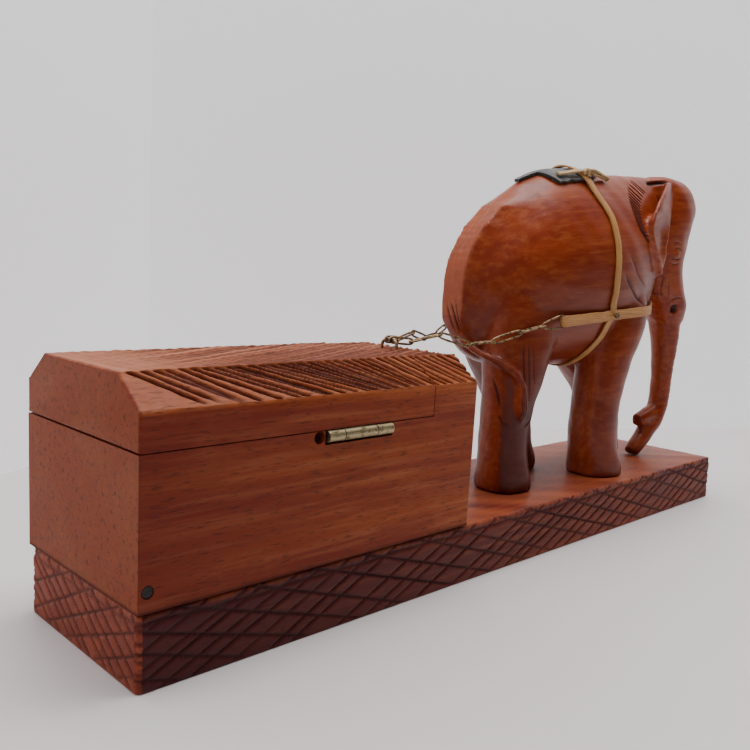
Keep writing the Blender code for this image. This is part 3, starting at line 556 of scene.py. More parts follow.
def capped(rings: np.ndarray) -> Surface:
    """A closed skin through rings of equal length, a fan round a middle point at each end.

    Args:
        rings: array of rings by points by 3.

    Returns:
        Its points and faces.
    """
    rows, columns = rings.shape[:2]
    points = np.concatenate([rings.reshape(-1, 3), [rings[0].mean(0)], [rings[-1].mean(0)]])
    faces = grid_faces(rows, columns, True)
    first, last, end = rows * columns, rows * columns + 1, (rows - 1) * columns
    for j in range(columns):
        k = (j + 1) % columns
        faces.append([k, j, first])
        faces.append([end + j, end + k, last])
    return points, faces


def joined(surfaces: Iterable[Surface]) -> Surface:
    """Several skins as one, each keeping its own points."""
    points, faces, start = [], [], 0
    for rows, cells in surfaces:
        points.append(rows)
        faces += [[number + start for number in cell] for cell in cells]
        start += len(rows)
    return np.concatenate(points), faces


def unit(vectors: np.ndarray) -> np.ndarray:
    """Each row at length 1."""
    return vectors / np.maximum(np.linalg.norm(vectors, axis=-1, keepdims=True), 1e-12)


def spline(table: Sequence[Sequence[float]], count: int) -> np.ndarray:
    """A smooth line through the table's rows, by Catmull and Rom's cubic.

    Between rows 1 and 2 at share f it is half of 2 p1 + (p2 - p0) f
    + (2 p0 - 5 p1 + 4 p2 - p3) f^2 + (3 p1 - 3 p2 + p3 - p0) f^3.

    Args:
        table: the rows to pass through.
        count: how many rows are wanted.

    Returns:
        count rows at even steps.
    """
    rows = np.asarray(table, float)
    place = np.linspace(0, len(rows) - 1, count)
    i = np.minimum(place.astype(int), len(rows) - 2)
    f = (place - i)[:, None]
    p0, p1 = rows[np.maximum(i - 1, 0)], rows[i]
    p2, p3 = rows[i + 1], rows[np.minimum(i + 2, len(rows) - 1)]
    return 0.5 * (
        2 * p1 + (p2 - p0) * f + (2 * p0 - 5 * p1 + 4 * p2 - p3) * f ** 2
        + (3 * p1 - 3 * p2 + p3 - p0) * f ** 3
    )


def ovals(
    centre: np.ndarray, across: np.ndarray, along: np.ndarray, half_across: np.ndarray,
    half_along: np.ndarray, power: float = 2.1, ridge: Any = 0.0, around: int = 56,
) -> np.ndarray:
    """Rings of a superellipse: |x/a|^p + |y/b|^p = 1, turned by an angle round each centre.

    Args:
        centre: the rings' centres, as rows.
        across, along: unit directions of the two half sizes.
        half_across, half_along: the half sizes, one for each ring.
        power: p, 2 for an ellipse.
        ridge: how far the half towards along narrows to a ridge.
        around: points in a ring.

    Returns:
        Array of rings by points by 3.
    """
    angle = np.linspace(0, 2 * math.pi, around, endpoint=False)[None, :]
    rise = np.sign(np.sin(angle)) * np.abs(np.sin(angle)) ** (2 / power)
    reach = np.sign(np.cos(angle)) * np.abs(np.cos(angle)) ** (2 / power)
    reach = reach * (1 - np.atleast_1d(ridge)[:, None] * np.maximum(rise, 0) ** 2)
    x = (reach * half_across[:, None])[..., None]
    y = (rise * half_along[:, None])[..., None]
    return centre[:, None, :] + across[:, None, :] * x + along[:, None, :] * y


def tube(
    path: np.ndarray, radius: Any, reference: Sequence[float] | np.ndarray,
    closed: bool = False, around: int = 10,
) -> Surface:
    """A round wire carried along a path.

    Each ring is radius times cos of the angle along the side direction plus sin of it along
    the third one; the side direction is the reference crossed with the path's direction.

    Args:
        path: the centre line, as rows.
        radius: one radius, or one for each row.
        reference: a direction never parallel to the path, or one for each row.
        closed: whether the path ends where it starts.
        around: points in a ring.

    Returns:
        Its points and faces.
    """
    if closed:
        ahead = unit(np.roll(path, -1, 0) - np.roll(path, 1, 0))
    else:
        ahead = unit(np.gradient(path, axis=0))
    side = unit(np.cross(np.broadcast_to(np.asarray(reference, float), path.shape), ahead))
    third = np.cross(ahead, side)
    angle = np.linspace(0, 2 * math.pi, around, endpoint=False)[None, :, None]
    size = np.broadcast_to(np.asarray(radius, float), len(path))[:, None, None]
    rings = path[:, None] + size * (np.cos(angle) * side[:, None] + np.sin(angle) * third[:, None])
    if not closed:
        return capped(rings)
    rows, columns = rings.shape[:2]
    faces = np.array(grid_faces(rows + 1, columns, True)) % (rows * columns)
    return rings.reshape(-1, 3), faces.tolist()


def thick_sheet(grid: np.ndarray, thickness: np.ndarray) -> Surface:
    """A closed skin round a sheet: the grid moved half the thickness to each side.

    Args:
        grid: rows by columns by 3.
        thickness: one number for each point of the grid.

    Returns:
        Its points and faces.
    """
    rows, columns = grid.shape[:2]
    normal = unit(np.cross(np.gradient(grid, axis=0), np.gradient(grid, axis=1)))
    half = normal * thickness[..., None] / 2
    top, bottom = (grid + half).reshape(-1, 3), (grid - half).reshape(-1, 3)
    faces = grid_faces(rows, columns, False)
    count = rows * columns
    faces += [[number + count for number in cell[::-1]] for cell in faces]
    number = np.arange(count).reshape(rows, columns)
    rim = np.concatenate([number[0], number[1:, -1], number[-1, -2::-1], number[-2:0:-1, 0]])
    for near, far in zip(rim.tolist(), np.roll(rim, -1).tolist()):
        faces.append([far, near, near + count, far + count])
    return np.concatenate([top, bottom]), faces


def facing_out(obj: bpy.types.Object) -> bpy.types.Object:
    """Merges the mesh's doubles and turns its faces outward."""
    bm = bmesh.new()
    bm.from_mesh(obj.data)
    bmesh.ops.remove_doubles(bm, verts=bm.verts, dist=0.000002)
    bmesh.ops.recalc_face_normals(bm, faces=bm.faces)
    bm.to_mesh(obj.data)
    bm.free()
    obj.data.update()
    return obj


def with_modifiers_applied(obj: bpy.types.Object) -> bpy.types.Object:
    """Puts what the modifiers make into the object's own mesh."""
    graph = bpy.context.evaluated_depsgraph_get()
    mesh = bpy.data.meshes.new_from_object(obj.evaluated_get(graph))
    obj.modifiers.clear()
    obj.data = mesh
    return obj


def tree_of(obj: bpy.types.Object) -> BVHTree:
    """A tree that casts rays on the object as it shows."""
    return BVHTree.FromObject(obj, bpy.context.evaluated_depsgraph_get())


# ---------------------------------------------------------------- knife cuts

@dataclass(frozen=True)
class Cuts:
    """A family of hand-cut V grooves on a flat face: nearly parallel lines.

    With s along the face and t up it, groove k is the line s = start + k pitch
    + lean (t - middle); its depth is depth (1 - distance / half_width), never below 0. Near
    swell_at the lean grows by up to swell.
    """

    start: float
    pitch: float
    count: int
    lean: float
    depth: float
    half_width: float
    seed: int
    wander: float = 0.12
    skip: float = 0.0
    swell: float = 0.0
    swell_at: float = 0.0
    swell_width: float = 0.028

    def depths(self, s: np.ndarray, t: np.ndarray, middle: float, height: float) -> np.ndarray:
        """How deep the family cuts at each point.

        Args:
            s, t: the points on the face.
            middle: the height where the lines cross their starts.
            height: the face's height, over which a groove's depth varies.

        Returns:
            Depths, 0 outside the grooves.
        """
        rng = np.random.default_rng(self.seed)
        number = np.arange(self.count)
        first = self.start + (number + rng.normal(0, self.wander, self.count)) * self.pitch
        swell = self.swell * np.exp(-((first - self.swell_at) / self.swell_width) ** 2)
        lean = (self.lean + swell) * (1 + rng.normal(0, 0.05, self.count))
        strength = self.depth * rng.uniform(0.75, 1.1, self.count)
        strength[rng.random(self.count) < self.skip] = 0.0
        away = np.abs(s[:, None] - first - lean * (t[:, None] - middle)) / np.sqrt(1 + lean ** 2)
        fade = 1 - 0.25 * np.abs((t - middle) / (height / 2)) ** 2
        cut = strength * np.maximum(0, 1 - away / self.half_width)
        return cut.max(1) * fade


def waves(x: np.ndarray, seed: int, scales: Sequence[float]) -> np.ndarray:
    """A gentle wavy line between -1 and 1: sines of these wavelengths, their phases random."""
    rng = np.random.default_rng(seed)
    total = sum(np.sin(x / scale * 2 * math.pi + rng.uniform(0, 6.3)) for scale in scales)
    return total / len(scales)


@dataclass
class Plank:
    """The base: a plank whose four sides carry a cut lattice, its top waxed and plain."""

    corner: float = 0.0016
    far_corner: float = 0.0034
    top_round: float = 0.0011
    bottom_round: float = 0.0005
    step: float = 0.00046
    groove: float = 0.00060
    half_groove: float = 0.00075
    long_lattice: tuple[Cuts, ...] = (
        Cuts(-0.190, 0.0204, 19, -3.30, 0.00070, 0.00068, seed=11, wander=0.08),
        Cuts(-0.180, 0.0095, 38, 2.15, 0.00062, 0.00060, seed=12, skip=0.03),
    )
    end_lattice: tuple[Cuts, ...] = (
        Cuts(-0.060, 0.0068, 18, -1.50, 0.00060, 0.00064, seed=13),
        Cuts(-0.085, 0.0143, 13, 2.38, 0.00052, 0.00060, seed=14, wander=0.10),
    )
    line_below_top: float = 0.0024
    line_sag: float = 0.0006
    rub: float = 0.00022
    rub_height: float = 0.0035
    worn_edge: float = 0.0018
    # painted shade: the sides darker towards -X, all but the -X end
    shade_from: float = 0.070
    shade_length: float = 0.200
    shade_most: float = 0.9

    def outline(self) -> tuple[np.ndarray, np.ndarray, np.ndarray, np.ndarray]:
        """The plank seen from above: a rectangle with rounded corners.

        Returns:
            Its points, outward directions, the distance along each side from its middle,
            and the number of the side: 0 is -Y, 1 is +X, 2 is +Y and 3 is -X.
        """
        low, high = (np.array(corner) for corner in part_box("base_plank"))
        sides = (
            ((low[0], low[1]), (high[0], low[1]), (0, -1)),
            ((high[0], low[1]), (high[0], high[1]), (1, 0)),
            ((high[0], high[1]), (low[0], high[1]), (0, 1)),
            ((low[0], high[1]), (low[0], low[1]), (-1, 0)),
        )
        radii = (self.corner, self.corner, self.corner, self.far_corner)
        points, outward, place, number = [], [], [], []
        for side, (start, end, out) in enumerate(sides):
            start, end, out = np.array(start), np.array(end), np.array(out, float)
            ahead = unit((end - start)[None])[0]
            before, after = radii[side], radii[(side + 1) % 4]
            length = np.linalg.norm(end - start)
            steps = int((length - before - after) / self.step)
            along = np.linspace(before, length - after, steps)
            points.append(start + ahead * along[:, None])
            outward.append(np.tile(out, (steps, 1)))
            place.append(along - length / 2)
            number.append(np.full(steps, side))
            angle = np.linspace(0, math.pi / 2, 9)[1:-1, None]
            turned = out * np.cos(angle) + ahead * np.sin(angle)
            centre = end - ahead * after - out * after
            points.append(centre + turned * after)
            outward.append(turned)
            place.append(np.full(len(angle), length / 2))
            number.append(np.full(len(angle), side))
        return (
            np.concatenate(points), np.concatenate(outward), np.concatenate(place),
            np.concatenate(number),
        )

    def profile(self) -> tuple[np.ndarray, np.ndarray]:
        """How far in and how high each row of the wall stands, from bottom to top."""
        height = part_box("base_plank")[1].z
        arc = np.linspace(0, math.pi / 2, 5)
        low_in = self.bottom_round * (1 - np.sin(arc))
        low_z = self.bottom_round * (1 - np.cos(arc))
        flat = np.linspace(self.bottom_round, height - self.top_round, 38)[1:-1]
        high_in = self.top_round * (1 - np.cos(arc))
        high_z = height - self.top_round * (1 - np.sin(arc))
        inset = np.concatenate([low_in, np.zeros(len(flat)), high_in])
        return inset, np.concatenate([low_z, flat, high_z])

    def build(self) -> bpy.types.Object:
        """Makes the plank: the outline moved in by the profile and the cuts' depth.

        Returns:
            The piece.
        """
        points, outward, place, number = self.outline()
        inset, height = self.profile()
        s, t = np.broadcast_arrays(place[None, :], height[:, None])
        side = np.broadcast_to(number[None, :], s.shape)
        top = height[-1]
        depth = np.zeros(s.shape)
        for sides, family in (((0, 2), self.long_lattice), ((1, 3), self.end_lattice)):
            chosen = np.isin(side, sides)
            for cuts in family:
                found = cuts.depths(s[chosen], t[chosen], top / 2, top)
                depth[chosen] = np.maximum(depth[chosen], found)
        sag = self.line_sag * waves(s, 21, (0.11, 0.043, 0.019))
        level = np.abs(t - (top - self.line_below_top + sag))
        line = self.groove * 0.8 * np.maximum(0, 1 - level / self.half_groove)
        depth = np.maximum(depth, np.where(side == 0, line, line * 0.6))
        depth *= np.clip((top - t) / 0.0009, 0, 1) * np.clip((t - 0.0002) / 0.0008, 0, 1)
        rub = self.rub * (1 + waves(s * 1.7 + side, 22, (0.031, 0.013, 0.0051)))
        near_top = np.clip((t - top + self.rub_height) / self.rub_height, 0, 1)
        moved = inset[:, None] + depth + rub * near_top
        rings = np.empty((len(height), len(points), 3))
        rings[..., :2] = points[None] - outward[None] * moved[..., None]
        rings[..., 2] = height[:, None] - 0.3 * rub * np.clip((t - top + 0.001) / 0.001, 0, 1)
        rows, columns = rings.shape[:2]
        faces = grid_faces(rows, columns, True)
        faces.append(list(range(columns))[::-1])
        faces.append([(rows - 1) * columns + j for j in range(columns)])
        obj = mesh_object("base_plank_carved", (rings.reshape(-1, 3), faces), BASE_WOOD.material())
        set_attribute(obj.data, "groove", np.clip(depth / self.groove, 0, 1).ravel())
        edge = np.clip((t - top + self.worn_edge) / self.worn_edge, 0, 1)
        edge = edge * (0.5 + 0.5 * waves(s, 23, (0.05, 0.02)))
        wear_and_light = np.clip(edge, 0, 1) * (depth < 0.0001)
        set_attribute(obj.data, "wear_and_light", wear_and_light.ravel())
        # painted shade: darker towards -X, on every side but the -X end
        share = np.clip((self.shade_from - rings[..., 0]) / self.shade_length, 0, 1)
        painted_shade = share * self.shade_most
        set_attribute(obj.data, "painted_shade", np.where(side == 3, 0.0, painted_shade).ravel())
        obj.data.set_sharp_from_angle(angle=math.radians(50))
        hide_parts("base_plank")
        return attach(obj, "carving")


class Zone(IntEnum):
    """The faces of the log's section, in the order of its line."""

    WALL = 0
    NEAR_CHAMFER = 1
    TOP = 2
    FAR_CHAMFER = 3
    UNDERSIDE = 4


@dataclass
class HewnLog:
    """The log box: its lid and its fixed end block, with grooves cut over their tops.

    Both have one section: square below, with a wide chamfer on both upper edges. A row of
    slanting grooves runs over each chamfer, and a row that slants the other way over the top.
    """

    chamfer_width: float = 0.0105
    chamfer_drop: float = 0.0080
    step: float = 0.00052
    edge_round: float = 0.0006
    groove: float = 0.00075
    saw_cut: float = 0.00022
    # height of the painted shade line along the box's foot, where it meets the plank
    foot_shade_height: float = 0.0011
    near_chamfer: Cuts = Cuts(
        -0.1475, 0.00335, 36, 1.05, 0.00105, 0.00085, seed=31, wander=0.07, swell=1.10,
        swell_at=-0.108,
    )
    far_chamfer: Cuts = Cuts(
        -0.1475, 0.00335, 36, 1.05, 0.00100, 0.00082, seed=32, wander=0.07, swell=1.10,
        swell_at=-0.108,
    )
    top_face: Cuts = Cuts(
        -0.2150, 0.00345, 60, 2.04, 0.00085, 0.00110, seed=33, wander=0.07
    )
    plain_length: float = 0.022
    plain_share: float = 0.20
    rub: float = 0.00016
    # how dark the painted shade on the log's walls gets
    shade_most: float = 0.6
    shares: dict[str, tuple[np.ndarray, np.ndarray]] = field(default_factory=dict)

    def section(self, low: float, top: float, side: float) -> tuple[np.ndarray, ...]:
        """The section as one closed line from the lower -Y corner, up, over and down.

        Args:
            low, top: its lowest and highest z.
            side: its half width.

        Returns:
            Its points, outward directions, the zone of each point, and the share of the way
            along that face.
        """
        shoulder = top - self.chamfer_drop
        knee = side - self.chamfer_width
        corners = np.array([
            (-side, low), (-side, shoulder), (-knee, top), (knee, top), (side, shoulder),
            (side, low),
        ])
        steps = (
            max(6, int((shoulder - low) / 0.0012)), 28, 2 + int(2 * knee / self.step), 28,
            max(6, int((shoulder - low) / 0.0012)), 24,
        )
        zones = (
            Zone.WALL, Zone.NEAR_CHAMFER, Zone.TOP, Zone.FAR_CHAMFER, Zone.WALL, Zone.UNDERSIDE,
        )
        points, outward, zone, share = [], [], [], []
        for i, count in enumerate(steps):
            start, end = corners[i], corners[(i + 1) % 6]
            f = np.linspace(0, 1, count, endpoint=False)
            points.append(start + (end - start) * f[:, None])
            ahead = unit((end - start)[None])[0]
            outward.append(np.tile((-ahead[1], ahead[0]), (count, 1)))
            zone.append(np.full(count, int(zones[i])))
            share.append(f)
        normals = np.concatenate(outward)
        normals = unit(normals + np.roll(normals, 1, 0))
        return np.concatenate(points), normals, np.concatenate(zone), np.concatenate(share)

    def body(
        self, name: str, start: float, end: float, low: float, top: float, lean: float,
        start_round: float = 1.0, end_round: float = 1.0,
    ) -> Surface:
        """A length of the log: the section at each step along X, moved in by the cuts.

        Args:
            name: "lid" or "block": its key in shares; the block also gets a painted shade line at
                its foot.
            start, end: where it begins and ends along X.
            low, top: its lowest and highest z.
            lean: how far its far face leans towards +X at the top.
            start_round, end_round: how rounded the two ends' edges are, up to 1.

        Returns:
            Its points and faces. How dark each point is goes into shares: its grooves, and on the
            block a painted shade line at its foot. So does how pale: real wear near the edges, and
            painted sheen on the top and chamfers.
        """
        side = float(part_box("log_box")[1].y)
        points, normal, zone, share = self.section(low, top, side)
        count = int((end - start) / self.step)
        rounding = self.edge_round * np.array([1.0, 0.55, 0.2, 0.0])
        along = np.concatenate([
            start + self.edge_round * np.array([0.0, 0.1, 0.45]),
            np.linspace(start + self.edge_round, end - self.edge_round, count),
            end - self.edge_round * np.array([0.45, 0.1, 0.0]),
        ])
        inset = np.zeros(len(along))
        inset[:4], inset[-4:] = rounding * start_round, rounding[::-1] * end_round
        x, f = np.broadcast_arrays(along[:, None], share[None, :])
        zones = np.broadcast_to(zone[None, :], x.shape)
        depth = np.zeros(x.shape)
        chamfer = math.hypot(self.chamfer_width, self.chamfer_drop)
        over = 2 * (side - self.chamfer_width)
        for number, cuts, t, height in (
            (Zone.NEAR_CHAMFER, self.near_chamfer, (1 - f) * chamfer, chamfer),
            (Zone.FAR_CHAMFER, self.far_chamfer, f * chamfer, chamfer),
            (Zone.TOP, self.top_face, f * over, over),
        ):
            chosen = zones == number
            found = cuts.depths(x[chosen], t[chosen], 0.0, height * 9)
            depth[chosen] = found
        near_end = np.clip((x - start_of_log() - 0.002) / 0.004, 0, 1)
        late = np.clip((x - start_of_log() - self.plain_length * 0.55) / 0.030, 0, 1)
        on_top = zones == Zone.TOP
        on_chamfer = np.isin(zones, (Zone.NEAR_CHAMFER, Zone.FAR_CHAMFER))
        depth *= np.where(on_top, (0.25 + 0.75 * late) * near_end, 1.0)
        strip = np.clip((x - start_of_log() - self.plain_length) / 0.010, 0, 1)
        lower = (zones == Zone.NEAR_CHAMFER) & (f < self.plain_share)
        begun = np.maximum(strip, np.clip(f / self.plain_share, 0, 1))
        depth = np.where(lower, depth * begun, depth)
        edge = np.minimum(f, 1 - f)
        taper = np.where(on_top, np.clip(edge / 0.012, 0, 1), np.clip(edge / 0.04, 0.15, 1))
        depth *= taper
        rub = self.rub * (1 + waves(x + f * 0.004, 35, (0.037, 0.011, 0.0043)))
        wall = np.isin(zones, (Zone.WALL, Zone.UNDERSIDE))
        moved = depth + inset[:, None] + np.where(wall, 0.0, rub)
        rings = np.empty((*x.shape, 3))
        rise = (points[:, 1] - low) / (top - low)
        stretch = np.clip((x - start) / (end - start), 0, 1)
        rings[..., 0] = x + lean * rise[None, :] * stretch
        rings[..., 1:] = points[None] - normal[None] * moved[..., None]
        rings[..., 2] = np.maximum(rings[..., 2], low)
        rows, columns = x.shape
        faces = grid_faces(rows, columns, True)
        faces.append(list(range(columns))[::-1])
        faces.append([(rows - 1) * columns + j for j in range(columns)])
        faces = [cell[::-1] for cell in faces]
        worn = np.clip(1 - edge / 0.03, 0, 1) * (on_top | on_chamfer)
        # painted sheen: the top and chamfers drawn paler, as glancing light makes them look; worn
        # adds real wear near their edges
        pale = 0.45 * on_chamfer + 0.80 * on_top
        pale = np.where(lower, 0.50 * (1 - strip) + pale * strip, pale)
        wear_and_light = np.clip(pale + 0.35 * worn * (0.5 + 0.5 * waves(x, 36, (0.04, 0.013))), 0, 1)
        dark = np.clip(depth / self.groove, 0, 1)
        if name == "block":
            # painted shade: a dark line along the block's foot, where it meets the plank
            foot_shade = (points[:, 1] < low + 0.0001)[None, :] & (zones != Zone.UNDERSIDE)
            dark = np.where(foot_shade, 1.0, dark)
        inner = (x > along[3]) & (x < along[-4])
        self.shares[name] = (dark.ravel(), (wear_and_light * (depth < 0.0003) * inner).ravel())
        return rings.reshape(-1, 3), faces

    def painted_shade(self, obj: bpy.types.Object) -> None:
        """Paints shade on the walls: darker towards the log's near end."""
        points = points_of(obj.data)
        wall = np.clip((0.0700 - points[:, 2]) / 0.003, 0, 1)
        share = np.clip((-0.055 - points[:, 0]) / 0.095, 0, 1) * wall
        set_attribute(obj.data, "painted_shade", self.shade_most * share)

    def build_lid(self) -> bpy.types.Object:
        """Makes the lid, which swings with the hinge's upper leaf."""
        low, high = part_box("log_lid")
        surface = self.body("lid", low.x, high.x, low.z, high.z, 0.0, 1.0, 0.15)
        obj = mesh_object("log_lid_carved", surface, LOG_WOOD.material())
        groove, wear_and_light = self.shares["lid"]
        set_attribute(obj.data, "groove", groove)
        set_attribute(obj.data, "wear_and_light", wear_and_light)
        self.painted_shade(obj)
        obj.data.set_sharp_from_angle(angle=math.radians(50))
        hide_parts("log_lid")
        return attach(obj, "lid")

    def build_box(self) -> bpy.types.Object:
        """Makes the box: the plain hollow body, and the end block with its grooved top."""
        low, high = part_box("log_box")
        lid_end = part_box("log_lid")[1].x
        cut = lid_end + self.saw_cut
        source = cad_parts["log_box"]
        bm = bmesh.new()
        bm.from_mesh(source.data)
        bmesh.ops.remove_doubles(bm, verts=bm.verts, dist=0.000005)
        whole = bm.verts[:] + bm.edges[:] + bm.faces[:]
        sliced = bmesh.ops.bisect_plane(
            bm, geom=whole, dist=0.000001, plane_co=(cut, 0, 0), plane_no=(1, 0, 0),
            clear_outer=True,
        )
        rim = [edge for edge in sliced["geom_cut"] if isinstance(edge, bmesh.types.BMEdge)]
        bmesh.ops.holes_fill(bm, edges=rim)
        whole = bm.verts[:] + bm.edges[:] + bm.faces[:]
        bmesh.ops.bisect_plane(
            bm, geom=whole, dist=0.000001, plane_co=(0, 0, low.z + self.foot_shade_height),
            plane_no=(0, 0, 1),
        )
        bmesh.ops.recalc_face_normals(bm, faces=bm.faces)
        mesh = bpy.data.meshes.new("hollow_body")
        bm.to_mesh(mesh)
        bm.free()
        block = self.body(
            "block", cut, high.x - 0.0013, low.z, high.z, 0.0013, 0.0, 1.0
        )
        body_points = points_of(mesh)
        body_faces = [list(face.vertices) for face in mesh.polygons]
        surface = joined([(body_points, body_faces), block])
        bpy.data.meshes.remove(mesh)
        obj = mesh_object("log_box_carved", surface, LOG_WOOD.material())
        groove, wear_and_light = self.shares["block"]
        x, y, z = body_points.T
        # painted shade: a dark line along the body's foot where it meets the plank, and dark
        # inside the hinge's mortise and hole
        behind = (y > low.y + 0.0002) & (y < low.y + 0.009) & (x > -0.0995) & (x < -0.0685)
        dark = (z < low.z + 0.0001) | (behind & (z > 0.0530) & (z < high.z))
        set_attribute(obj.data, "groove", np.concatenate([dark.astype(float), groove]))
        set_attribute(obj.data, "wear_and_light", np.concatenate([np.zeros(len(x)), wear_and_light]))
        self.painted_shade(obj)
        obj.data.set_sharp_from_angle(angle=math.radians(40))
        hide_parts("log_box")
        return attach(obj, "carving")


def start_of_log() -> float:
    """Where the log begins along X."""
    return float(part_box("log_box")[0].x)


# ---------------------------------------------------------------- elephant

@dataclass(frozen=True)
class Stroke:
    """One knife stroke on the elephant: a line in its own frame, in millimetres."""

    line: tuple[Point, ...]
    depth: float = 0.45
    half_width: float = 0.60
    taper: bool = True


def mirrored(stroke: Stroke) -> Stroke:
    """The same stroke on the other flank."""
    return Stroke(
        tuple((u, -v, w) for u, v, w in stroke.line), stroke.depth, stroke.half_width,
        stroke.taper,
    )


@dataclass
class Elephant:
    """The elephant: lofted forms joined in one skin, then cut with knife strokes."""

    place: Point = (0.0600, 0.0, 0.0196)
    turn: float = math.radians(-6.0)
    voxel: float = 0.0011
    torso: tuple[tuple[float, ...], ...] = (
        (-62.5, 65.0, 80.0, 3.4, 0.10), (-60.2, 58.0, 88.5, 6.2, 0.30),
        (-55.2, 52.0, 97.2, 10.8, 0.50), (-47.0, 48.0, 106.0, 16.0, 0.50),
        (-37.0, 46.0, 114.0, 20.0, 0.45), (-28.0, 46.0, 119.5, 22.2, 0.40),
        (-18.0, 45.2, 123.0, 23.5, 0.35), (-5.0, 45.5, 124.8, 24.0, 0.30),
        (8.0, 46.2, 125.6, 23.6, 0.30), (20.0, 48.5, 126.4, 22.2, 0.30),
        (32.0, 53.0, 127.2, 19.6, 0.30), (43.0, 57.0, 128.0, 15.5, 0.25),
        (52.0, 66.0, 128.4, 11.2, 0.20),
    )
    head: tuple[tuple[float, ...], ...] = (
        (129.4, 64.0, 8.0, 4.0), (127.0, 66.2, 14.0, 7.8), (122.0, 68.8, 17.2, 10.2),
        (115.0, 69.7, 18.0, 11.5), (106.0, 67.5, 16.8, 11.5), (97.0, 67.0, 16.0, 10.8),
        (89.0, 67.5, 13.8, 10.2), (80.0, 70.5, 13.0, 10.0), (72.0, 75.5, 11.8, 9.6),
        (64.0, 78.0, 8.8, 8.0),
    )
    trunk: tuple[tuple[float, ...], ...] = (
        (77.8, 64.0, 7.6), (79.0, 54.0, 6.5), (79.4, 44.0, 5.5), (79.2, 34.0, 4.9),
        (78.6, 25.0, 4.8), (75.2, 16.5, 4.8), (69.0, 9.5, 4.2), (63.0, 4.2, 3.8),
        (59.4, 0.8, 3.5),
    )
    trunk_finger: tuple[tuple[float, ...], ...] = (
        (76.0, 19.5, 4.2), (69.0, 17.8, 3.8), (62.0, 16.0, 3.2)
    )
    hind_leg: tuple[tuple[float, ...], ...] = (
        (0.0, 12.6, 10.5, 10.5), (4.0, 12.6, 10.4, 10.4), (12.0, 12.6, 9.4, 9.4),
        (20.0, 12.4, 9.1, 9.1), (30.0, 12.2, 9.8, 9.4), (39.0, 12.0, 11.5, 10.0),
        (48.0, 11.6, 14.2, 10.1), (60.0, 10.7, 17.2, 9.8), (74.0, 9.5, 17.0, 9.4),
        (86.0, 8.0, 12.0, 7.0),
    )
    front_leg: tuple[tuple[float, ...], ...] = (
        (0.0, 13.2, 11.2, 11.2), (4.0, 13.2, 11.0, 11.0), (12.0, 13.2, 10.0, 10.0),
        (22.0, 13.0, 9.6, 9.6), (32.0, 12.8, 9.9, 9.8), (42.0, 12.6, 10.8, 10.3),
        (52.0, 12.2, 12.7, 10.7), (62.0, 11.4, 15.7, 11.0), (74.0, 10.0, 16.5, 10.0),
        (86.0, 8.0, 12.0, 7.5),
    )
    right_hind: tuple[float, ...] = (
        -42.0, -42.0, -43.0, -43.0, -42.0, -40.0, -38.0, -35.0, -34.0, -34.0
    )
    left_hind: tuple[float, ...] = (
        -11.0, -11.0, -12.5, -13.5, -16.5, -20.5, -24.5, -28.5, -31.0, -32.0
    )
    right_front: tuple[float, ...] = (
        13.8, 13.8, 11.6, 11.0, 12.4, 14.4, 17.6, 21.8, 23.8, 24.8
    )
    left_front: tuple[float, ...] = (
        48.0, 48.0, 48.5, 47.5, 42.0, 32.5, 26.5, 24.0, 24.0, 24.5
    )
    ear_front: tuple[Point, ...] = (
        (60.5, -6.8, 126.6), (59.2, -9.4, 119.0), (57.0, -11.6, 109.0), (56.0, -12.4, 99.0),
        (54.5, -12.6, 91.0), (50.0, -13.6, 84.6),
    )
    ear_back: tuple[Point, ...] = (
        (57.0, -9.4, 126.2), (42.0, -16.6, 119.0), (31.8, -20.6, 110.0), (30.4, -21.6, 103.0),
        (35.0, -21.2, 95.0), (44.5, -18.4, 86.0),
    )
    ear_hollow: float = 4.6
    ear_thickness: float = 2.4
    tail: tuple[tuple[float, ...], ...] = (
        (-59.6, -3.0, 57.5, 1.7), (-57.0, -8.8, 53.4, 1.6), (-55.4, -14.2, 51.4, 1.5),
        (-51.8, -18.0, 48.6, 1.45), (-48.0, -21.0, 45.4, 1.4), (-45.8, -22.5, 41.4, 1.6),
        (-45.2, -22.9, 37.4, 1.9), (-44.8, -22.8, 32.0, 2.1), (-45.0, -22.2, 27.4, 0.8),
    )
    spine_half: float = 5.2
    toe_angles: tuple[float, ...] = (-48.0, -4.0, 40.0)
    mirrored_strokes: int = 32
    groove_full: float = 0.0005

    def loft(self, table: Sequence[Sequence[float]]) -> np.ndarray:
        """The table's stations, smoothed to four times as many and in metres."""
        rows = spline(table, 4 * len(table))
        return rows * MM

    def torso_form(self) -> Surface:
        """Upright ovals along u, each between its lowest and highest w."""
        table = np.array(self.torso)
        rows = spline(table, 4 * len(table))
        ridge = rows[:, 4]
        u, low, high, half = (rows[:, i] * MM for i in range(4))
        centre = np.stack([u, 0 * u, (low + high) / 2], 1)
        side, up = np.tile((0.0, 1, 0), (len(u), 1)), np.tile((0.0, 0, 1), (len(u), 1))
        return capped(ovals(centre, side, up, half, (high - low) / 2, 2.1, ridge))

    def head_form(self) -> Surface:
        """Level ovals from the crown down to the root of the trunk."""
        w, u, half_u, half_v = self.loft(self.head).T
        centre = np.stack([u, 0 * u, w], 1)
        ahead, side = np.tile((1.0, 0, 0), (len(u), 1)), np.tile((0.0, 1, 0), (len(u), 1))
        return capped(ovals(centre, ahead, side, half_u, half_v, 2.1))

    def middle_tube(self, table: Sequence[Sequence[float]]) -> Surface:
        """A tube in the elephant's middle plane, for the trunk and its finger."""
        u, w, radius = self.loft(table).T
        path = np.stack([u, 0 * u, w], 1)
        return tube(path, radius, (0, 1, 0), around=40)

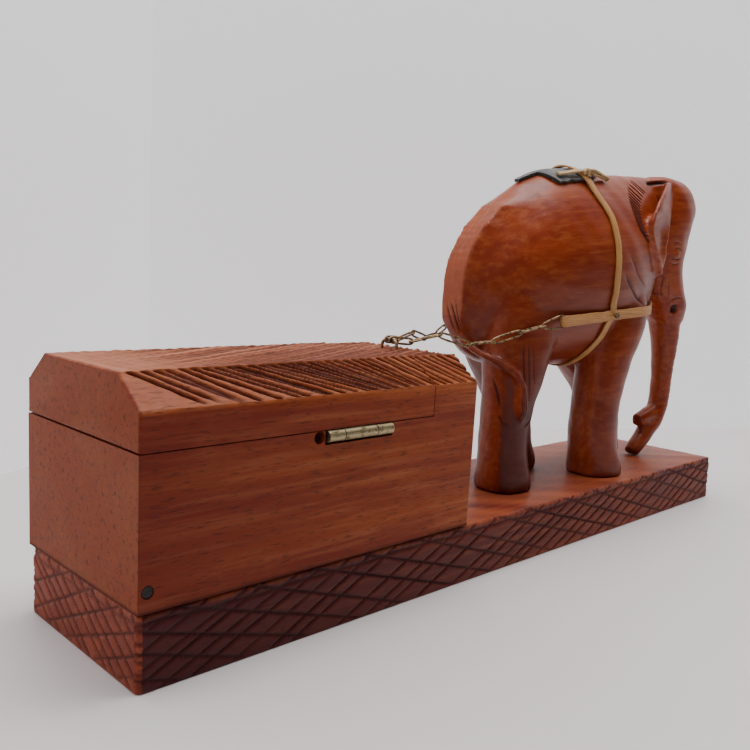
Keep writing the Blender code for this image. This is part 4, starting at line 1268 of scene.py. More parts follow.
    def leg_form(
        self, table: Sequence[Sequence[float]], line: Sequence[float], sign: int
    ) -> Surface:
        """Level ovals up a leg.

        Args:
            table: w, distance from the middle and half sizes, station by station.
            line: the leg's u at each station.
            sign: -1 for the right, 1 for the left.

        Returns:
            Its points and faces.
        """
        rows = self.loft([(*row, u) for row, u in zip(table, line)])
        w, v, half_u, half_v, u = rows.T
        w = np.maximum(w, 0.0)
        centre = np.stack([u, sign * v, w], 1)
        ahead, side = np.tile((1.0, 0, 0), (len(u), 1)), np.tile((0.0, 1, 0), (len(u), 1))
        return capped(ovals(centre, ahead, side, half_u, half_v, 2.3))

    def ear_form(self, sign: int) -> Surface:
        """A sheet between the ear's front and back lines, hollowed in its lower half.

        With s from front to back and t from top to bottom, a point is the mix of the two
        lines by s, moved inward by hollow sin(pi s) ** 0.7 where t is past the upper flap.

        Args:
            sign: -1 for the right, 1 for the left.

        Returns:
            Its points and faces.
        """
        front = spline(self.ear_front, 44) * MM
        back = spline(self.ear_back, 44) * MM
        s = np.linspace(0, 1, 18)[:, None, None]
        t = np.linspace(0, 1, 44)[None, :]
        grid = front[None] * (1 - s) + back[None] * s
        below_flap = np.clip((t - 0.36) / 0.14, 0, 1) * np.clip((1.02 - t) / 0.3, 0, 1)
        dish = self.ear_hollow * MM * np.sin(np.pi * s[..., 0]) ** 0.7 * below_flap
        grid[..., 1] += dish
        grid[..., 1] *= -sign
        edge = np.minimum(s[..., 0], 1 - s[..., 0]) * 6
        thick = self.ear_thickness * MM * (0.62 + 0.38 * np.clip(edge, 0, 1)) * np.ones_like(t)
        return thick_sheet(grid, thick)

    def tail_form(self) -> Surface:
        """The tail, a thin tapering rope that ends in a tuft."""
        rows = spline(self.tail, 60) * MM
        return tube(rows[:, :3], rows[:, 3], (1, 0, 0), around=14)

    def eyeball(self, sign: int) -> Surface:
        """The eye's bulge, a small flattened ball in the side of the head."""
        angle = np.linspace(0.02, math.pi - 0.02, 14)
        centre = np.stack([
            66.6 * MM - 2.6 * MM * np.cos(angle), np.full(14, sign * 9.9 * MM),
            np.full(14, 94.9 * MM),
        ], 1)
        side, up = np.tile((0.0, 1, 0), (14, 1)), np.tile((0.0, 0, 1), (14, 1))
        half = 1.5 * MM * np.sin(angle)
        return capped(ovals(centre, side, up, half, half, 2.0, around=16))

    def flank_strokes(self) -> list[Stroke]:
        """Hair, folds and creases of the right flank, in the order of a walk round it."""
        hair = spline(
            ((34.5, -5.0, 125.4), (27.5, -8.6, 121.4), (23.8, -11.8, 117.0),
             (22.4, -14.6, 112.4), (22.8, -16.9, 107.4), (24.5, -18.4, 103.4)), 17,
        )
        strokes = [
            Stroke(
                ((u, v, w), (u + 3.4, v - 1.0, w - 3.0), (u + 6.6, v - 1.6, w - 5.4)), 1.00, 0.60
            )
            for u, v, w in hair.tolist()
        ]
        strokes += [
            Stroke(((46.0, -6.4, 124.6), (53.0, -6.0, 125.8), (60.0, -5.6, 127.0)), 1.3, 1.5),
            Stroke(((64.0, -10.6, 97.2), (66.8, -10.9, 97.8), (70.0, -10.4, 96.4)), 0.5, 0.5),
            Stroke(((63.6, -10.6, 93.2), (66.4, -10.9, 92.4), (69.8, -10.4, 93.2)), 0.5, 0.5),
            Stroke(((63.0, -10.4, 90.8), (66.0, -10.6, 90.2), (69.0, -10.2, 90.8)), 0.35, 0.5),
            Stroke(((62.5, -10.4, 99.6), (66.0, -10.8, 100.4), (69.8, -10.4, 99.0)), 0.3, 0.5),
            Stroke(((11.0, -23.1, 84.1), (18.7, -21.6, 78.1), (30.2, -19.7, 71.9)), 0.55, 1.3),
            Stroke(((14.0, -22.6, 92.0), (24.0, -20.4, 83.0), (33.0, -18.0, 79.0)), 0.3, 1.0),
            Stroke(((57.4, -9.0, 88.0), (58.6, -8.6, 80.6), (62.2, -8.4, 74.0)), 0.45, 0.7),
            Stroke(((60.6, -9.4, 86.0), (61.4, -9.2, 79.6), (64.0, -9.0, 74.6)), 0.35, 0.6),
            Stroke(((64.0, -9.6, 84.2), (64.8, -9.6, 79.0), (66.6, -9.4, 75.4)), 0.3, 0.6),
            Stroke(((53.4, -10.0, 82.6), (54.6, -9.4, 76.0), (58.4, -8.6, 69.6)), 0.4, 0.7),
            Stroke(((50.0, -11.0, 80.0), (51.6, -10.0, 73.0), (55.6, -8.8, 67.0)), 0.4, 0.7),
            Stroke(((67.4, -9.0, 73.2), (72.0, -9.6, 75.2), (77.0, -8.4, 74.0)), 0.35, 0.6),
        ]
        strokes += [
            Stroke(((-43.6, -19.6, 58.2), (-43.5, -21.4, 47.0), (-44.2, -22.7, 36.0)), 0.55, 0.8),
            Stroke(((-41.4, -20.2, 58.2), (-41.1, -21.4, 47.0), (-40.7, -22.1, 35.7)), 0.45, 0.7),
            Stroke(((-39.4, -20.6, 56.3), (-38.8, -21.4, 48.0), (-38.2, -22.0, 41.0)), 0.35, 0.7),
            Stroke(((-51.7, -10.7, 43.4), (-51.0, -8.9, 38.1), (-50.6, -7.4, 33.2)), 0.5, 0.9),
            Stroke(((-50.8, -12.0, 30.0), (-50.2, -14.0, 27.4), (-48.4, -16.4, 26.0)), 0.35, 0.7),
            Stroke(((-36.0, -21.0, 30.0), (-38.6, -21.6, 27.0), (-42.0, -21.8, 25.4)), 0.35, 0.7),
        ]
        for shift in (-1.1, 0.0, 1.1):
            strokes.append(Stroke(
                ((-45.4 + shift, -23.4, 38.0), (-44.7 + shift * 1.3, -23.8, 33.0),
                 (-44.8 + shift * 0.3, -22.6, 28.4)), 0.4, 0.35,
            ))
        return strokes

    def middle_strokes(self) -> list[Stroke]:
        """Folds that cross the middle: on the rump's flat band and round the trunk."""
        strokes = [
            Stroke(((-62.4, 0.6, 71.0), (-62.4, -1.8, 66.0), (-60.8, -3.6, 60.0)), 0.6, 0.7),
            Stroke(((-63.0, 2.4, 70.0), (-62.6, 0.6, 65.0), (-61.0, -1.2, 59.6)), 0.5, 0.6),
            Stroke(((-62.8, -2.0, 72.0), (-62.0, -3.4, 67.0), (-60.8, -4.6, 62.0)), 0.4, 0.5),
        ]
        for number in range(13):
            w = 61.0 - 3.3 * number
            reach = 6.0 - 0.10 * number
            angles = np.radians(np.linspace(-100, 100, 11))
            line = tuple(
                (
                    79.0 - 0.02 * number + reach * math.cos(a), reach * math.sin(a),
                    w + 0.6 * math.cos(a),
                )
                for a in angles
            )
            strokes.append(Stroke(line, 0.28, 0.55))
        return strokes

    def toe_strokes(self) -> list[Stroke]:
        """Three arched nails on each foot: over angle a the line is r cos, r sin and a rise."""
        feet = (
            (self.right_hind[0], -12.6, 10.4), (self.left_hind[0], 12.6, 10.4),
            (self.right_front[0], -13.2, 11.1), (self.left_front[0], 13.2, 11.1),
        )
        turn = np.linspace(0, math.pi, 9)
        strokes = []
        for u, v, radius in feet:
            for angle in self.toe_angles:
                a = math.radians(angle) + 0.30 * np.cos(turn)
                line = np.stack(
                    [u + radius * np.cos(a), v + radius * np.sin(a), 0.8 + 5.0 * np.sin(turn)], 1
                )
                strokes.append(Stroke(tuple(map(tuple, line.tolist())), 0.42, 0.45, False))
            a = np.radians(np.linspace(-85, 75, 14))
            line = np.stack([u + radius * np.cos(a), v + radius * np.sin(a), 9.0 + 0 * a], 1)
            strokes.append(Stroke(tuple(map(tuple, line.tolist())), 0.22, 0.7))
        return strokes

    def all_strokes(self) -> list[Stroke]:
        """Every stroke: the right flank's, most of them mirrored on the left, and the rest.

        Returns:
            The strokes. Only the first mirrored_strokes of the right flank are mirrored.
        """
        flank = self.flank_strokes()
        left = [mirrored(stroke) for stroke in flank[:self.mirrored_strokes]]
        return flank + left + self.middle_strokes() + self.toe_strokes()

    def on_skin(self, line: np.ndarray, tree: BVHTree) -> np.ndarray:
        """Puts a line on the skin: along v where it is met near by, else the nearest way.

        Args:
            line: the line's points.
            tree: the skin.

        Returns:
            The points on the skin.
        """
        spots = []
        for point in line.tolist():
            inward = Vector((0, -math.copysign(1.0, point[1]), 0))
            spot = tree.ray_cast(Vector(point) - inward * 0.02, inward, 0.026)[0]
            if spot is None or abs(point[1]) < 0.0045:
                spot = tree.find_nearest(Vector(point))[0]
            spots.append(spot[:])
        return np.array(spots)

    def cut(
        self, points: np.ndarray, strokes: list[Stroke], tree: BVHTree
    ) -> tuple[np.ndarray, np.ndarray]:
        """How deep the strokes cut at each point, and how near a stroke each point is.

        A stroke's line is first put on the skin. The depth is depth times a smooth V of the
        distance to the line, which fades at its ends.

        Args:
            points: the skin's points in the elephant's frame, in metres.
            strokes: the strokes.
            tree: the skin, to put the lines on.

        Returns:
            Depths in metres, and distances over half widths.
        """
        depth, near = np.zeros(len(points)), np.full(len(points), 99.0)
        for stroke in strokes:
            count = 3 * len(stroke.line)
            line = self.on_skin(spline(stroke.line, count) * MM, tree)
            wide = stroke.half_width * MM
            low, high = line.min(0) - 4 * wide, line.max(0) + 4 * wide
            chosen = np.nonzero(((points > low) & (points < high)).all(1))[0]
            if not len(chosen):
                continue
            spots = points[chosen]
            best, share = np.full(len(spots), 99.0), np.zeros(len(spots))
            for i in range(count - 1):
                step = line[i + 1] - line[i]
                f = np.clip((spots - line[i]) @ step / max(step @ step, 1e-12), 0, 1)
                away = np.linalg.norm(spots - line[i] - f[:, None] * step, axis=1)
                closer = away < best
                best[closer] = away[closer]
                share[closer] = (i + f[closer]) / (count - 1)
            fade = np.clip(4 * np.minimum(share, 1 - share), 0.15, 1) if stroke.taper else 1.0
            vee = np.clip(1 - best / wide, 0, 1)
            cut = stroke.depth * MM * vee ** 1.2 * fade
            depth[chosen] = np.maximum(depth[chosen], cut)
            near[chosen] = np.minimum(near[chosen], best / wide)
        return depth, near

    def skin(self) -> bpy.types.Object:
        """Joins the forms in one skin: a fine voxel remesh, then smoothing."""
        forms = joined([
            self.torso_form(), self.head_form(), self.middle_tube(self.trunk),
            self.middle_tube(self.trunk_finger),
            self.leg_form(self.hind_leg, self.right_hind, -1),
            self.leg_form(self.hind_leg, self.left_hind, 1),
            self.leg_form(self.front_leg, self.right_front, -1),
            self.leg_form(self.front_leg, self.left_front, 1),
            self.ear_form(-1), self.ear_form(1), self.tail_form(),
            self.eyeball(-1), self.eyeball(1),
        ])
        obj = mesh_object("elephant_carved", forms, RED_WOOD.material())
        facing_out(obj)
        remesh = obj.modifiers.new("one_skin", "REMESH")
        remesh.mode = "VOXEL"
        remesh.voxel_size = self.voxel
        ease = obj.modifiers.new("ease", "SMOOTH")
        ease.factor = 0.5
        ease.iterations = 3
        return with_modifiers_applied(obj)

    def flatten_spine(self, points: np.ndarray) -> np.ndarray:
        """Pares a flat band down the rump, with a crisp edge on each side.

        At each height w the band lies at the middle's u. Beyond its edge the skin moves by
        the same step as at the edge, times (1 - distance / 8 mm) squared.

        Args:
            points: the skin in the elephant's frame.

        Returns:
            The skin with its band.
        """
        u, v, w = points.T
        rear = (u < -0.030) & (w > 0.056) & (w < 0.118)
        away = np.abs(v)
        half = self.spine_half * MM

        def line(chosen: np.ndarray) -> np.ndarray:
            """The u of these points at every point's height."""
            order = np.argsort(w[chosen])
            smooth = np.convolve(np.pad(u[chosen][order], 4, "edge"), np.ones(9) / 9, "valid")
            return np.interp(w, w[chosen][order], smooth)

        middle = line(rear & (away < 0.0012))
        edge = line(rear & (np.abs(away - half) < 0.0007))
        fade = np.clip((w - 0.060) / 0.004, 0, 1) * np.clip((0.1140 - w) / 0.006, 0, 1)
        flat = np.where(away < half, middle - u, 0.0)
        beyond = (middle - edge) * np.clip(1 - (away - half) / 0.008, 0, 1) ** 2
        points[:, 0] = u + np.where(rear, fade * np.where(away < half, flat, beyond), 0.0)
        return points

    def build(self) -> bpy.types.Object:
        """Makes the elephant.

        Returns:
            The piece.
        """
        obj = self.skin()
        mesh = obj.data
        set_points(mesh, self.flatten_spine(points_of(mesh)))
        strokes = self.all_strokes()
        tree = tree_of(obj)
        bm = bmesh.new()
        bm.from_mesh(mesh)
        for reach in (3.2, 2.0):
            points = np.array([vert.co[:] for vert in bm.verts])
            near = self.cut(points, strokes, tree)[1] < reach
            bm.verts.ensure_lookup_table()
            edges = [
                edge for edge in bm.edges
                if near[edge.verts[0].index] and near[edge.verts[1].index]
            ]
            bmesh.ops.subdivide_edges(bm, edges=edges, cuts=1, use_grid_fill=True)
            bm.verts.index_update()
        bm.to_mesh(mesh)
        bm.free()
        mesh.update()
        points = points_of(mesh)
        normals = np.empty(len(points) * 3, np.float32)
        mesh.vertex_normals.foreach_get("vector", normals)
        normals = normals.reshape(-1, 3)
        depth = self.cut(points, strokes, tree)[0]
        socket = self.tusk_holes(points)
        tool = 0.00010 * (
            waves(points[:, 0] + points[:, 2] * 0.7, 41, (0.011, 0.017))
            + waves(points[:, 1] * 1.3 - points[:, 2], 42, (0.009, 0.014))
        )
        points = points - normals * (depth + socket + tool)[:, None]
        points[:, 2] = np.maximum(points[:, 2], 0.0)
        own = points.copy()
        set_points(mesh, self.to_world(points))
        groove = np.clip((depth + 0.6 * socket) / self.groove_full, 0, 1)
        set_attribute(mesh, "groove", groove)
        set_attribute(mesh, "wear_and_light", self.wear_and_light(own, normals))
        set_attribute(mesh, "painted_shade", self.painted_shade(own))
        mesh.shade_smooth()
        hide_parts("elephant")
        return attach(obj, "carving")

    def tusk_holes(self, points: np.ndarray) -> np.ndarray:
        """The pit of each tusk's socket: depth 2.6 mm (1 - distance / 2.2 mm), never below 0."""
        depth = np.zeros(len(points))
        for sign in (-1, 1):
            spot = np.array((0.0717, sign * 0.0086, 0.0697))
            away = np.linalg.norm(points - spot, axis=1)
            depth = np.maximum(depth, 0.0026 * np.clip(1 - away / 0.0024, 0, 1) ** 0.6)
        return depth

    def wear_and_light(self, points: np.ndarray, normals: np.ndarray) -> np.ndarray:
        """Painted light: the flat band of the rump paler, and upward-facing parts of the upper
        back a little.
        """
        band = (np.abs(points[:, 1]) < self.spine_half * MM) & (points[:, 0] < -0.044)
        band &= points[:, 2] > 0.066
        back = np.clip((normals[:, 2] - 0.5) / 0.5, 0, 1) * (points[:, 2] > 0.10)
        return np.clip(0.35 * band + 0.25 * back, 0, 1)

    def painted_shade(self, points: np.ndarray) -> np.ndarray:
        """Painted shade: darker low on the legs and on the lower body, most on the hind legs."""
        u, _, w = points.T
        low = np.clip((0.078 - w) / 0.050, 0, 1)
        most = np.interp(u, (-0.030, 0.005, 0.050, 0.060), (0.85, 0.45, 0.40, 0.10))
        return np.maximum(low * most, 0.30 * np.clip((0.100 - w) / 0.020, 0, 1) * (u < 0.05))

    def to_world(self, points: np.ndarray) -> np.ndarray:
        """Points of the elephant's own frame, in the model's frame."""
        c, s = math.cos(self.turn), math.sin(self.turn)
        turned = points @ np.array([[c, s, 0], [-s, c, 0], [0, 0, 1]])
        return turned + np.array(self.place)

    def point(self, u: float, v: float, w: float) -> Vector:
        """One such point as a Vector."""
        return Vector(self.to_world(np.array([[u, v, w]]))[0])

    def direction(self, u: float, v: float, w: float) -> Vector:
        """A direction of the elephant's own frame, in the model's frame."""
        return self.point(u, v, w) - self.point(0.0, 0.0, 0.0)


# ---------------------------------------------------------------- chains

@dataclass
class Chains:
    """Two chains of seven bent wire links, and the staple that both hook on to."""

    wire: float = 0.00040
    width: float = 0.0023
    wide_end: float = 0.0060
    overlap: float = 0.0011
    bend: float = 0.00010
    right: tuple[Point, ...] = (
        (-41.2, -1.2, 78.0), (-32.7, -2.6, 77.3), (-21.3, -5.5, 79.6), (-9.2, -8.7, 76.2),
        (1.2, -11.6, 77.2), (12.0, -15.4, 80.6), (22.2, -18.7, 83.2), (31.1, -21.3, 85.0),
    )
    left: tuple[Point, ...] = (
        (-41.2, 1.2, 78.0), (-32.5, 4.2, 77.3), (-21.2, 8.0, 79.2), (-9.6, 12.2, 76.6),
        (1.9, 17.0, 77.6), (13.3, 22.2, 80.0), (24.8, 25.6, 82.8), (36.0, 26.8, 85.0),
    )
    staple_half: float = 0.0035
    staple_rise: float = 0.0028
    staple_depth: float = 0.0060
    staple_wire: float = 0.00055

    def loop(self, length: float, far_width: float, seed: int) -> np.ndarray:
        """A link's outline: two long sides and two round ends, in a plane, x along it.

        At angle a the point is x = length / 2 (1 - cos a), softened so that the ends are
        blunt, and y = half the width there times the sine's sign and root.

        Args:
            length: the link's length.
            far_width: its width at the far end.
            seed: for how far its sides are pinched.

        Returns:
            Points as rows of x and y.
        """
        rng = np.random.default_rng(seed)
        a = np.linspace(0, 2 * math.pi, 72, endpoint=False)
        x = length / 2 * (1 - np.sign(np.cos(a)) * np.abs(np.cos(a)) ** 0.55)
        half = (self.width + (far_width - self.width) * x / length) / 2 - self.wire * 0.1
        y = half * np.sign(np.sin(a)) * np.abs(np.sin(a)) ** 0.62
        pinch = 1 - 0.10 * rng.random() * np.sin(math.pi * x / length)
        return np.stack([x, y * pinch], 1)

    def build_chain(self, side: str, joints: Sequence[Point]) -> list[bpy.types.Object]:
        """Makes one chain.

        Args:
            side: "right" or "left".
            joints: where each link ends and the next begins, in millimetres.

        Returns:
            Its links.
        """
        spots = np.array(joints) * MM
        bronze = BRONZE.material()
        links = []
        for number, (near, far) in enumerate(zip(spots, spots[1:])):
            span = float(np.linalg.norm(far - near))
            ahead = (far - near) / span
            level = unit(np.cross((0, 0, 1), ahead)[None])[0]
            upward = np.cross(ahead, level)
            across, third = (upward, level) if number % 2 == 0 else (level, upward)
            far_width = self.wide_end if number == len(spots) - 2 else self.width
            flat = self.loop(span + self.overlap, far_width, 50 + number)
            start = near - ahead * self.overlap / 2
            bend = self.bend * np.sin(np.pi * flat[:, 0] / (span + self.overlap))
            path = start + flat[:, :1] * ahead + flat[:, 1:] * across + bend[:, None] * third
            surface = tube(path, self.wire, third, closed=True, around=10)
            node = f"chain_link_{side}_{number + 1}"
            obj = mesh_object(f"{node}_wire", surface, bronze)
            facing_out(obj)
            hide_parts(node)
            links.append(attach(obj, f"chain_{side}"))
        return links

    def build_staple(self) -> bpy.types.Object:
        """Makes the staple: a bent wire arch, its two points sunk in the log."""
        low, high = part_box("chain_staple")
        x = (low.x + high.x) / 2
        foot = low.z
        top = foot + self.staple_depth
        angle = np.linspace(0, math.pi, 33)
        y = -self.staple_half * np.sign(np.cos(angle)) * np.abs(np.cos(angle)) ** 0.7
        z = top + self.staple_rise * np.sin(angle) ** 0.7
        y = np.concatenate([[-self.staple_half], y, [self.staple_half]])
        z = np.concatenate([[foot], z, [foot]])
        path = np.stack([np.full(len(y), x), y, z], 1)
        obj = mesh_object(
            "chain_staple_wire", tube(path, self.staple_wire, (1, 0, 0), around=12),
            BRONZE.material(),
        )
        facing_out(obj)
        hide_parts("chain_staple")
        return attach(obj, "carving")


# ---------------------------------------------------------------- harness

@dataclass
class Harness:
    """The cane straps and the pad, each laid on the elephant by casting rays on its skin."""

    elephant: Elephant
    thickness: float = 0.0008
    gap: float = 0.0003
    girth_width: float = 0.0034
    girth_w: float = 0.0860
    crossing_u: float = 0.0046
    girth_shift: tuple[tuple[float, float], ...] = (
        (0.0480, 0.0), (0.0600, 0.0046), (0.1070, 0.0046), (0.1160, 0.0004),
        (0.1215, -0.0010), (0.1245, -0.0034), (0.1270, -0.0054),
    )
    breast_u: float = 0.0050
    breast_w: float = 0.0677
    breast_width: float = 0.0040
    breast_slope: float = 0.075
    eye_radius: float = 0.0013
    lift: float = 0.0002
    doubled_to: float = -0.0030
    tie_v: float = -0.0066
    tie_lean: tuple[float, float] = (-0.45, 0.89)
    tie_start: float = -0.0210
    tie_end: float = 0.0080
    tie_width: float = 0.0022
    pad: tuple[tuple[float, float], ...] = (
        (-0.0310, 0.0010), (-0.0222, 0.0018), (-0.0195, 0.0062), (-0.0170, 0.0088),
        (-0.0050, 0.0090), (0.0050, 0.0072), (0.0110, 0.0050),
    )
    pad_thickness: float = 0.0012
    pad_rows: int = 64
    pad_columns: int = 29
    outside: float = 0.20
    probe: float = 0.03
    probe_end: float = 0.036
    tie_clear: float = 0.05
    chest_start: float = 0.006
    eye_taper: float = 0.005
    fold_fade: float = 0.004
    corner: float = 0.00022

    def band(
        self, path: np.ndarray, outward: np.ndarray, width: float, closed: bool, seed: int
    ) -> tuple[Surface, np.ndarray]:
        """A flat strap: a rounded rectangle carried along a path.

        The section's corners are at half the width and half the thickness, pulled in by a
        corner radius; the width wanders by a few hundredths along the strap.

        Args:
            path: the middle line, as rows.
            outward: the strap's thin direction at each row.
            width: the strap's width.
            closed: whether the path is a loop.
            seed: for the wandering edge.

        Returns:
            The skin, and the share of soil at its edges by point.
        """
        ahead = np.roll(path, -1, 0) - np.roll(path, 1, 0) if closed else np.gradient(path, axis=0)
        wide = unit(np.cross(outward, unit(ahead)))
        length = np.concatenate([[0], np.cumsum(np.linalg.norm(np.diff(path, axis=0), axis=1))])
        section = []
        half_w, half_t, r = 0.5, self.thickness / 2, self.corner
        for x, y, start in ((1, -1, -90), (1, 1, 0), (-1, 1, 90), (-1, -1, 180)):
            for degrees in (0, 30, 60, 90):
                a = math.radians(start + degrees)
                section.append(
                    (x * half_w, r * (math.cos(a) - x), y * (half_t - r) + r * math.sin(a))
                )
        section.insert(8, (0.3, 0.0, half_t))
        across, inset, thin = (np.array(column) for column in zip(*section))
        size = width * (1 + 0.05 * waves(length, seed, (0.019, 0.007, 0.0027)))
        rings = (
            path[:, None] + wide[:, None] * (across[None] * size[:, None] + inset[None])[..., None]
            + outward[:, None] * thin[None, :, None]
        )
        edge = np.broadcast_to((np.abs(across) > 0.45) * 0.8, rings.shape[:2])
        if closed:
            rows, columns = rings.shape[:2]
            faces = (np.array(grid_faces(rows + 1, columns, True)) % (rows * columns)).tolist()
            return (rings.reshape(-1, 3), faces), edge.ravel()
        points, faces = capped(rings)
        return (points, faces), np.append(edge.ravel(), (0.5, 0.5))

    def strap_object(
        self, name: str, made: tuple[Surface, np.ndarray], finish: StrapFinish
    ) -> bpy.types.Object:
        """An object for a band, with its soiled edges."""
        surface, edge = made
        obj = mesh_object(name, surface, finish.material())
        set_attribute(obj.data, "groove", edge)
        bm = bmesh.new()
        bm.from_mesh(obj.data)
        bmesh.ops.recalc_face_normals(bm, faces=bm.faces)
        bm.to_mesh(obj.data)
        bm.free()
        obj.data.set_sharp_from_angle(angle=math.radians(60))
        return obj

    def hull(
        self, trees: Sequence[BVHTree], centre: Vector, across: Vector, along: Vector,
        width: float, count: int = 240,
    ) -> list[Vector]:
        """The taut outline round these solids under a strap.

        Args:
            trees: the skins; the first is met from inside, the others from outside.
            centre: a point inside the first.
            across, along: unit directions of the outline's plane.
            width: the strap's width, over which five planes are taken.
            count: rays in a plane.

        Returns:
            The outline's corners as (across, along) pairs.
        """
        points = []
        for part in range(-2, 3):
            middle = centre + across.cross(along) * part * width / 4
            for i in range(count):
                angle = 2 * math.pi * i / count
                ray = across * math.cos(angle) + along * math.sin(angle)
                reach = trees[0].ray_cast(middle, ray)[3]
                for tree in trees[1:]:
                    distance = tree.ray_cast(middle + ray * self.outside, -ray)[3]
                    if distance is not None:
                        reach = max(reach, self.outside - distance)
                points.append(Vector((reach * math.cos(angle), reach * math.sin(angle))))
        return [points[i] for i in convex_hull_2d(points)]

    def build_pad(self, skin: bpy.types.Object) -> bpy.types.Object:
        """Makes the pad: a sheet laid on the back, pointed at its rear, its edge turned down.

        Its grid runs over u and the share of the half width; each point is where a ray
        straight down meets the skin, lifted by the gap and half the thickness.

        Args:
            skin: the carved elephant.

        Returns:
            The piece.
        """
        tree = tree_of(skin)
        table = np.array(self.pad)
        rows = np.linspace(table[0, 0], table[-1, 0], self.pad_rows)
        half = np.interp(rows, table[:, 0], table[:, 1])
        half = half * (1 + 0.03 * waves(rows, 61, (0.013, 0.005)))
        share = np.linspace(-1, 1, self.pad_columns)
        grid = np.empty((self.pad_rows, self.pad_columns, 3))
        for i, (u, reach) in enumerate(zip(rows, half)):
            for j, f in enumerate(share):
                above = self.elephant.point(u, reach * f, self.outside)
                spot, normal, _, _ = tree.ray_cast(above, Vector((0, 0, -1)))
                lift = self.gap + self.pad_thickness / 2
                grid[i, j] = spot + normal * lift
        grid[..., 2] += 0.00012 * waves(grid[..., 0] + grid[..., 1], 62, (0.006, 0.0037))
        thick = np.full(grid.shape[:2], self.pad_thickness)
        obj = mesh_object("saddle_pad_hide", thick_sheet(grid, thick), PAD_HIDE.material())
        facing_out(obj)
        obj.data.set_sharp_from_angle(angle=math.radians(50))
        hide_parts("saddle_pad")
        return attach(obj, "carving")

    def breast_line(
        self, hull: Sequence[Vector], eyes: Sequence[Vector], middle: float
    ) -> list[Vector]:
        """The taut line from the right eye round the chest to the left one, in 2D.

        Args:
            hull: the outline round the body.
            eyes: the right eye and the left one.
            middle: how far the line stands off the body.

        Returns:
            Its corners.
        """
        points = list(eyes)
        for i, point in enumerate(hull):
            chord = hull[(i + 1) % len(hull)] - hull[i - 1]
            normal = Vector((chord.y, -chord.x)).normalized()
            if normal.dot(point) < 0:
                normal = -normal
            if point.x > eyes[0].x + self.chest_start:
                points.append(point + normal * middle)
        around = [points[i] for i in convex_hull_2d(points)]
        first = around.index(eyes[0])
        around = around[first:] + around[:first]
        if around[1] == eyes[1]:
            around = around[:1] + around[1:][::-1]
        return around

    def filled(self, points: Sequence[Vector], spacing: float) -> list[Vector]:
        """Adds points to a line.

        Args:
            points: the line.
            spacing: the widest gap wanted.

        Returns:
            The points, with more between them where they stood further apart.
        """
        result = [points[0]]
        for near, far in zip(points, points[1:]):
            parts = math.ceil((far - near).length / spacing)
            result += [near.lerp(far, k / parts) for k in range(1, parts + 1)]
        return result

    def eye_arc(self, eye: Vector, ahead: Vector, sign: int) -> list[Vector]:
        """Half a circle behind an eye, from the inner layer's side to the outer one's.

        Args:
            eye: its centre.
            ahead: the strap's direction there.
            sign: 1 for the right eye, -1 for the left.

        Returns:
            Its points.
        """
        ahead = ahead.normalized()
        outward = Vector((ahead.y, -ahead.x)) * sign
        angles = [math.pi * (step / 12 - 0.5) for step in range(13)]
        return [
            eye - ahead * self.eye_radius * math.cos(a) + outward * self.eye_radius * math.sin(a)
            for a in angles
        ]

    def build_breast_strap(self, skin: bpy.types.Object, chains: Chains) -> bpy.types.Object:
        """Makes the breast strap: round the chest, each end folded back round an eye.

        Args:
            skin: the carved elephant.
            chains: the chains whose last links the eyes hold.

        Returns:
            The piece.
        """
        centre = self.elephant.point(self.breast_u, 0.0, self.breast_w)
        ahead = self.elephant.direction(1, 0, self.breast_slope).normalized()
        left = self.elephant.direction(0, 1, 0)
        hull = self.hull([tree_of(skin)], centre, ahead, left, self.breast_width)
        spread = (self.thickness + self.gap) / 2
        eyes = []
        for joints in (chains.right, chains.left):
            last, before = Vector(joints[-1]) * MM, Vector(joints[-2]) * MM
            offset = last + (last - before).normalized() * chains.overlap / 2 - centre
            eyes.append(Vector((offset.dot(ahead), offset.dot(left))))
        middle = 0.0008 + self.thickness / 2 + spread
        line = self.filled(self.breast_line(hull, eyes, middle), 0.0016)
        count = len(line)
        outer, inner = [], []
        for i, point in enumerate(line):
            chord = line[min(i + 1, count - 1)] - line[max(i - 1, 0)]
            normal = Vector((chord.y, -chord.x)).normalized()
            reach = min((point - eye).length for eye in eyes)
            half = spread + (self.eye_radius - spread) * max(0.0, 1 - reach / self.eye_taper)
            past = (point.x + self.breast_u - self.doubled_to) / self.fold_fade
            fade = min(1.0, max(0.0, past))
            outer.append(point + normal * (half - 2 * spread * fade))
            doubled = point.x + self.breast_u < self.doubled_to
            inner.append(point - normal * half if doubled else None)
        middle_index = count // 2
        path = [p for p in inner[1:middle_index][::-1] if p is not None]
        path += self.eye_arc(eyes[0], line[1] - line[0], 1)
        path += outer[1:-1]
        path += self.eye_arc(eyes[1], line[-2] - line[-1], -1)[::-1]
        path += [p for p in inner[middle_index:-1][::-1] if p is not None]
        flat = np.array([tuple(p) for p in path])
        chord = np.gradient(flat, axis=0)
        across, along = np.array(ahead), np.array(left)
        outward = unit(chord[:, 1:] * across - chord[:, :1] * along)
        spots = np.array(centre) + flat[:, :1] * across + flat[:, 1:] * along
        made = self.band(spots, outward, self.breast_width, False, 71)
        obj = self.strap_object("breast_strap_cane", made, BREAST_CANE)
        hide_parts("breast_strap")
        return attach(obj, "carving")

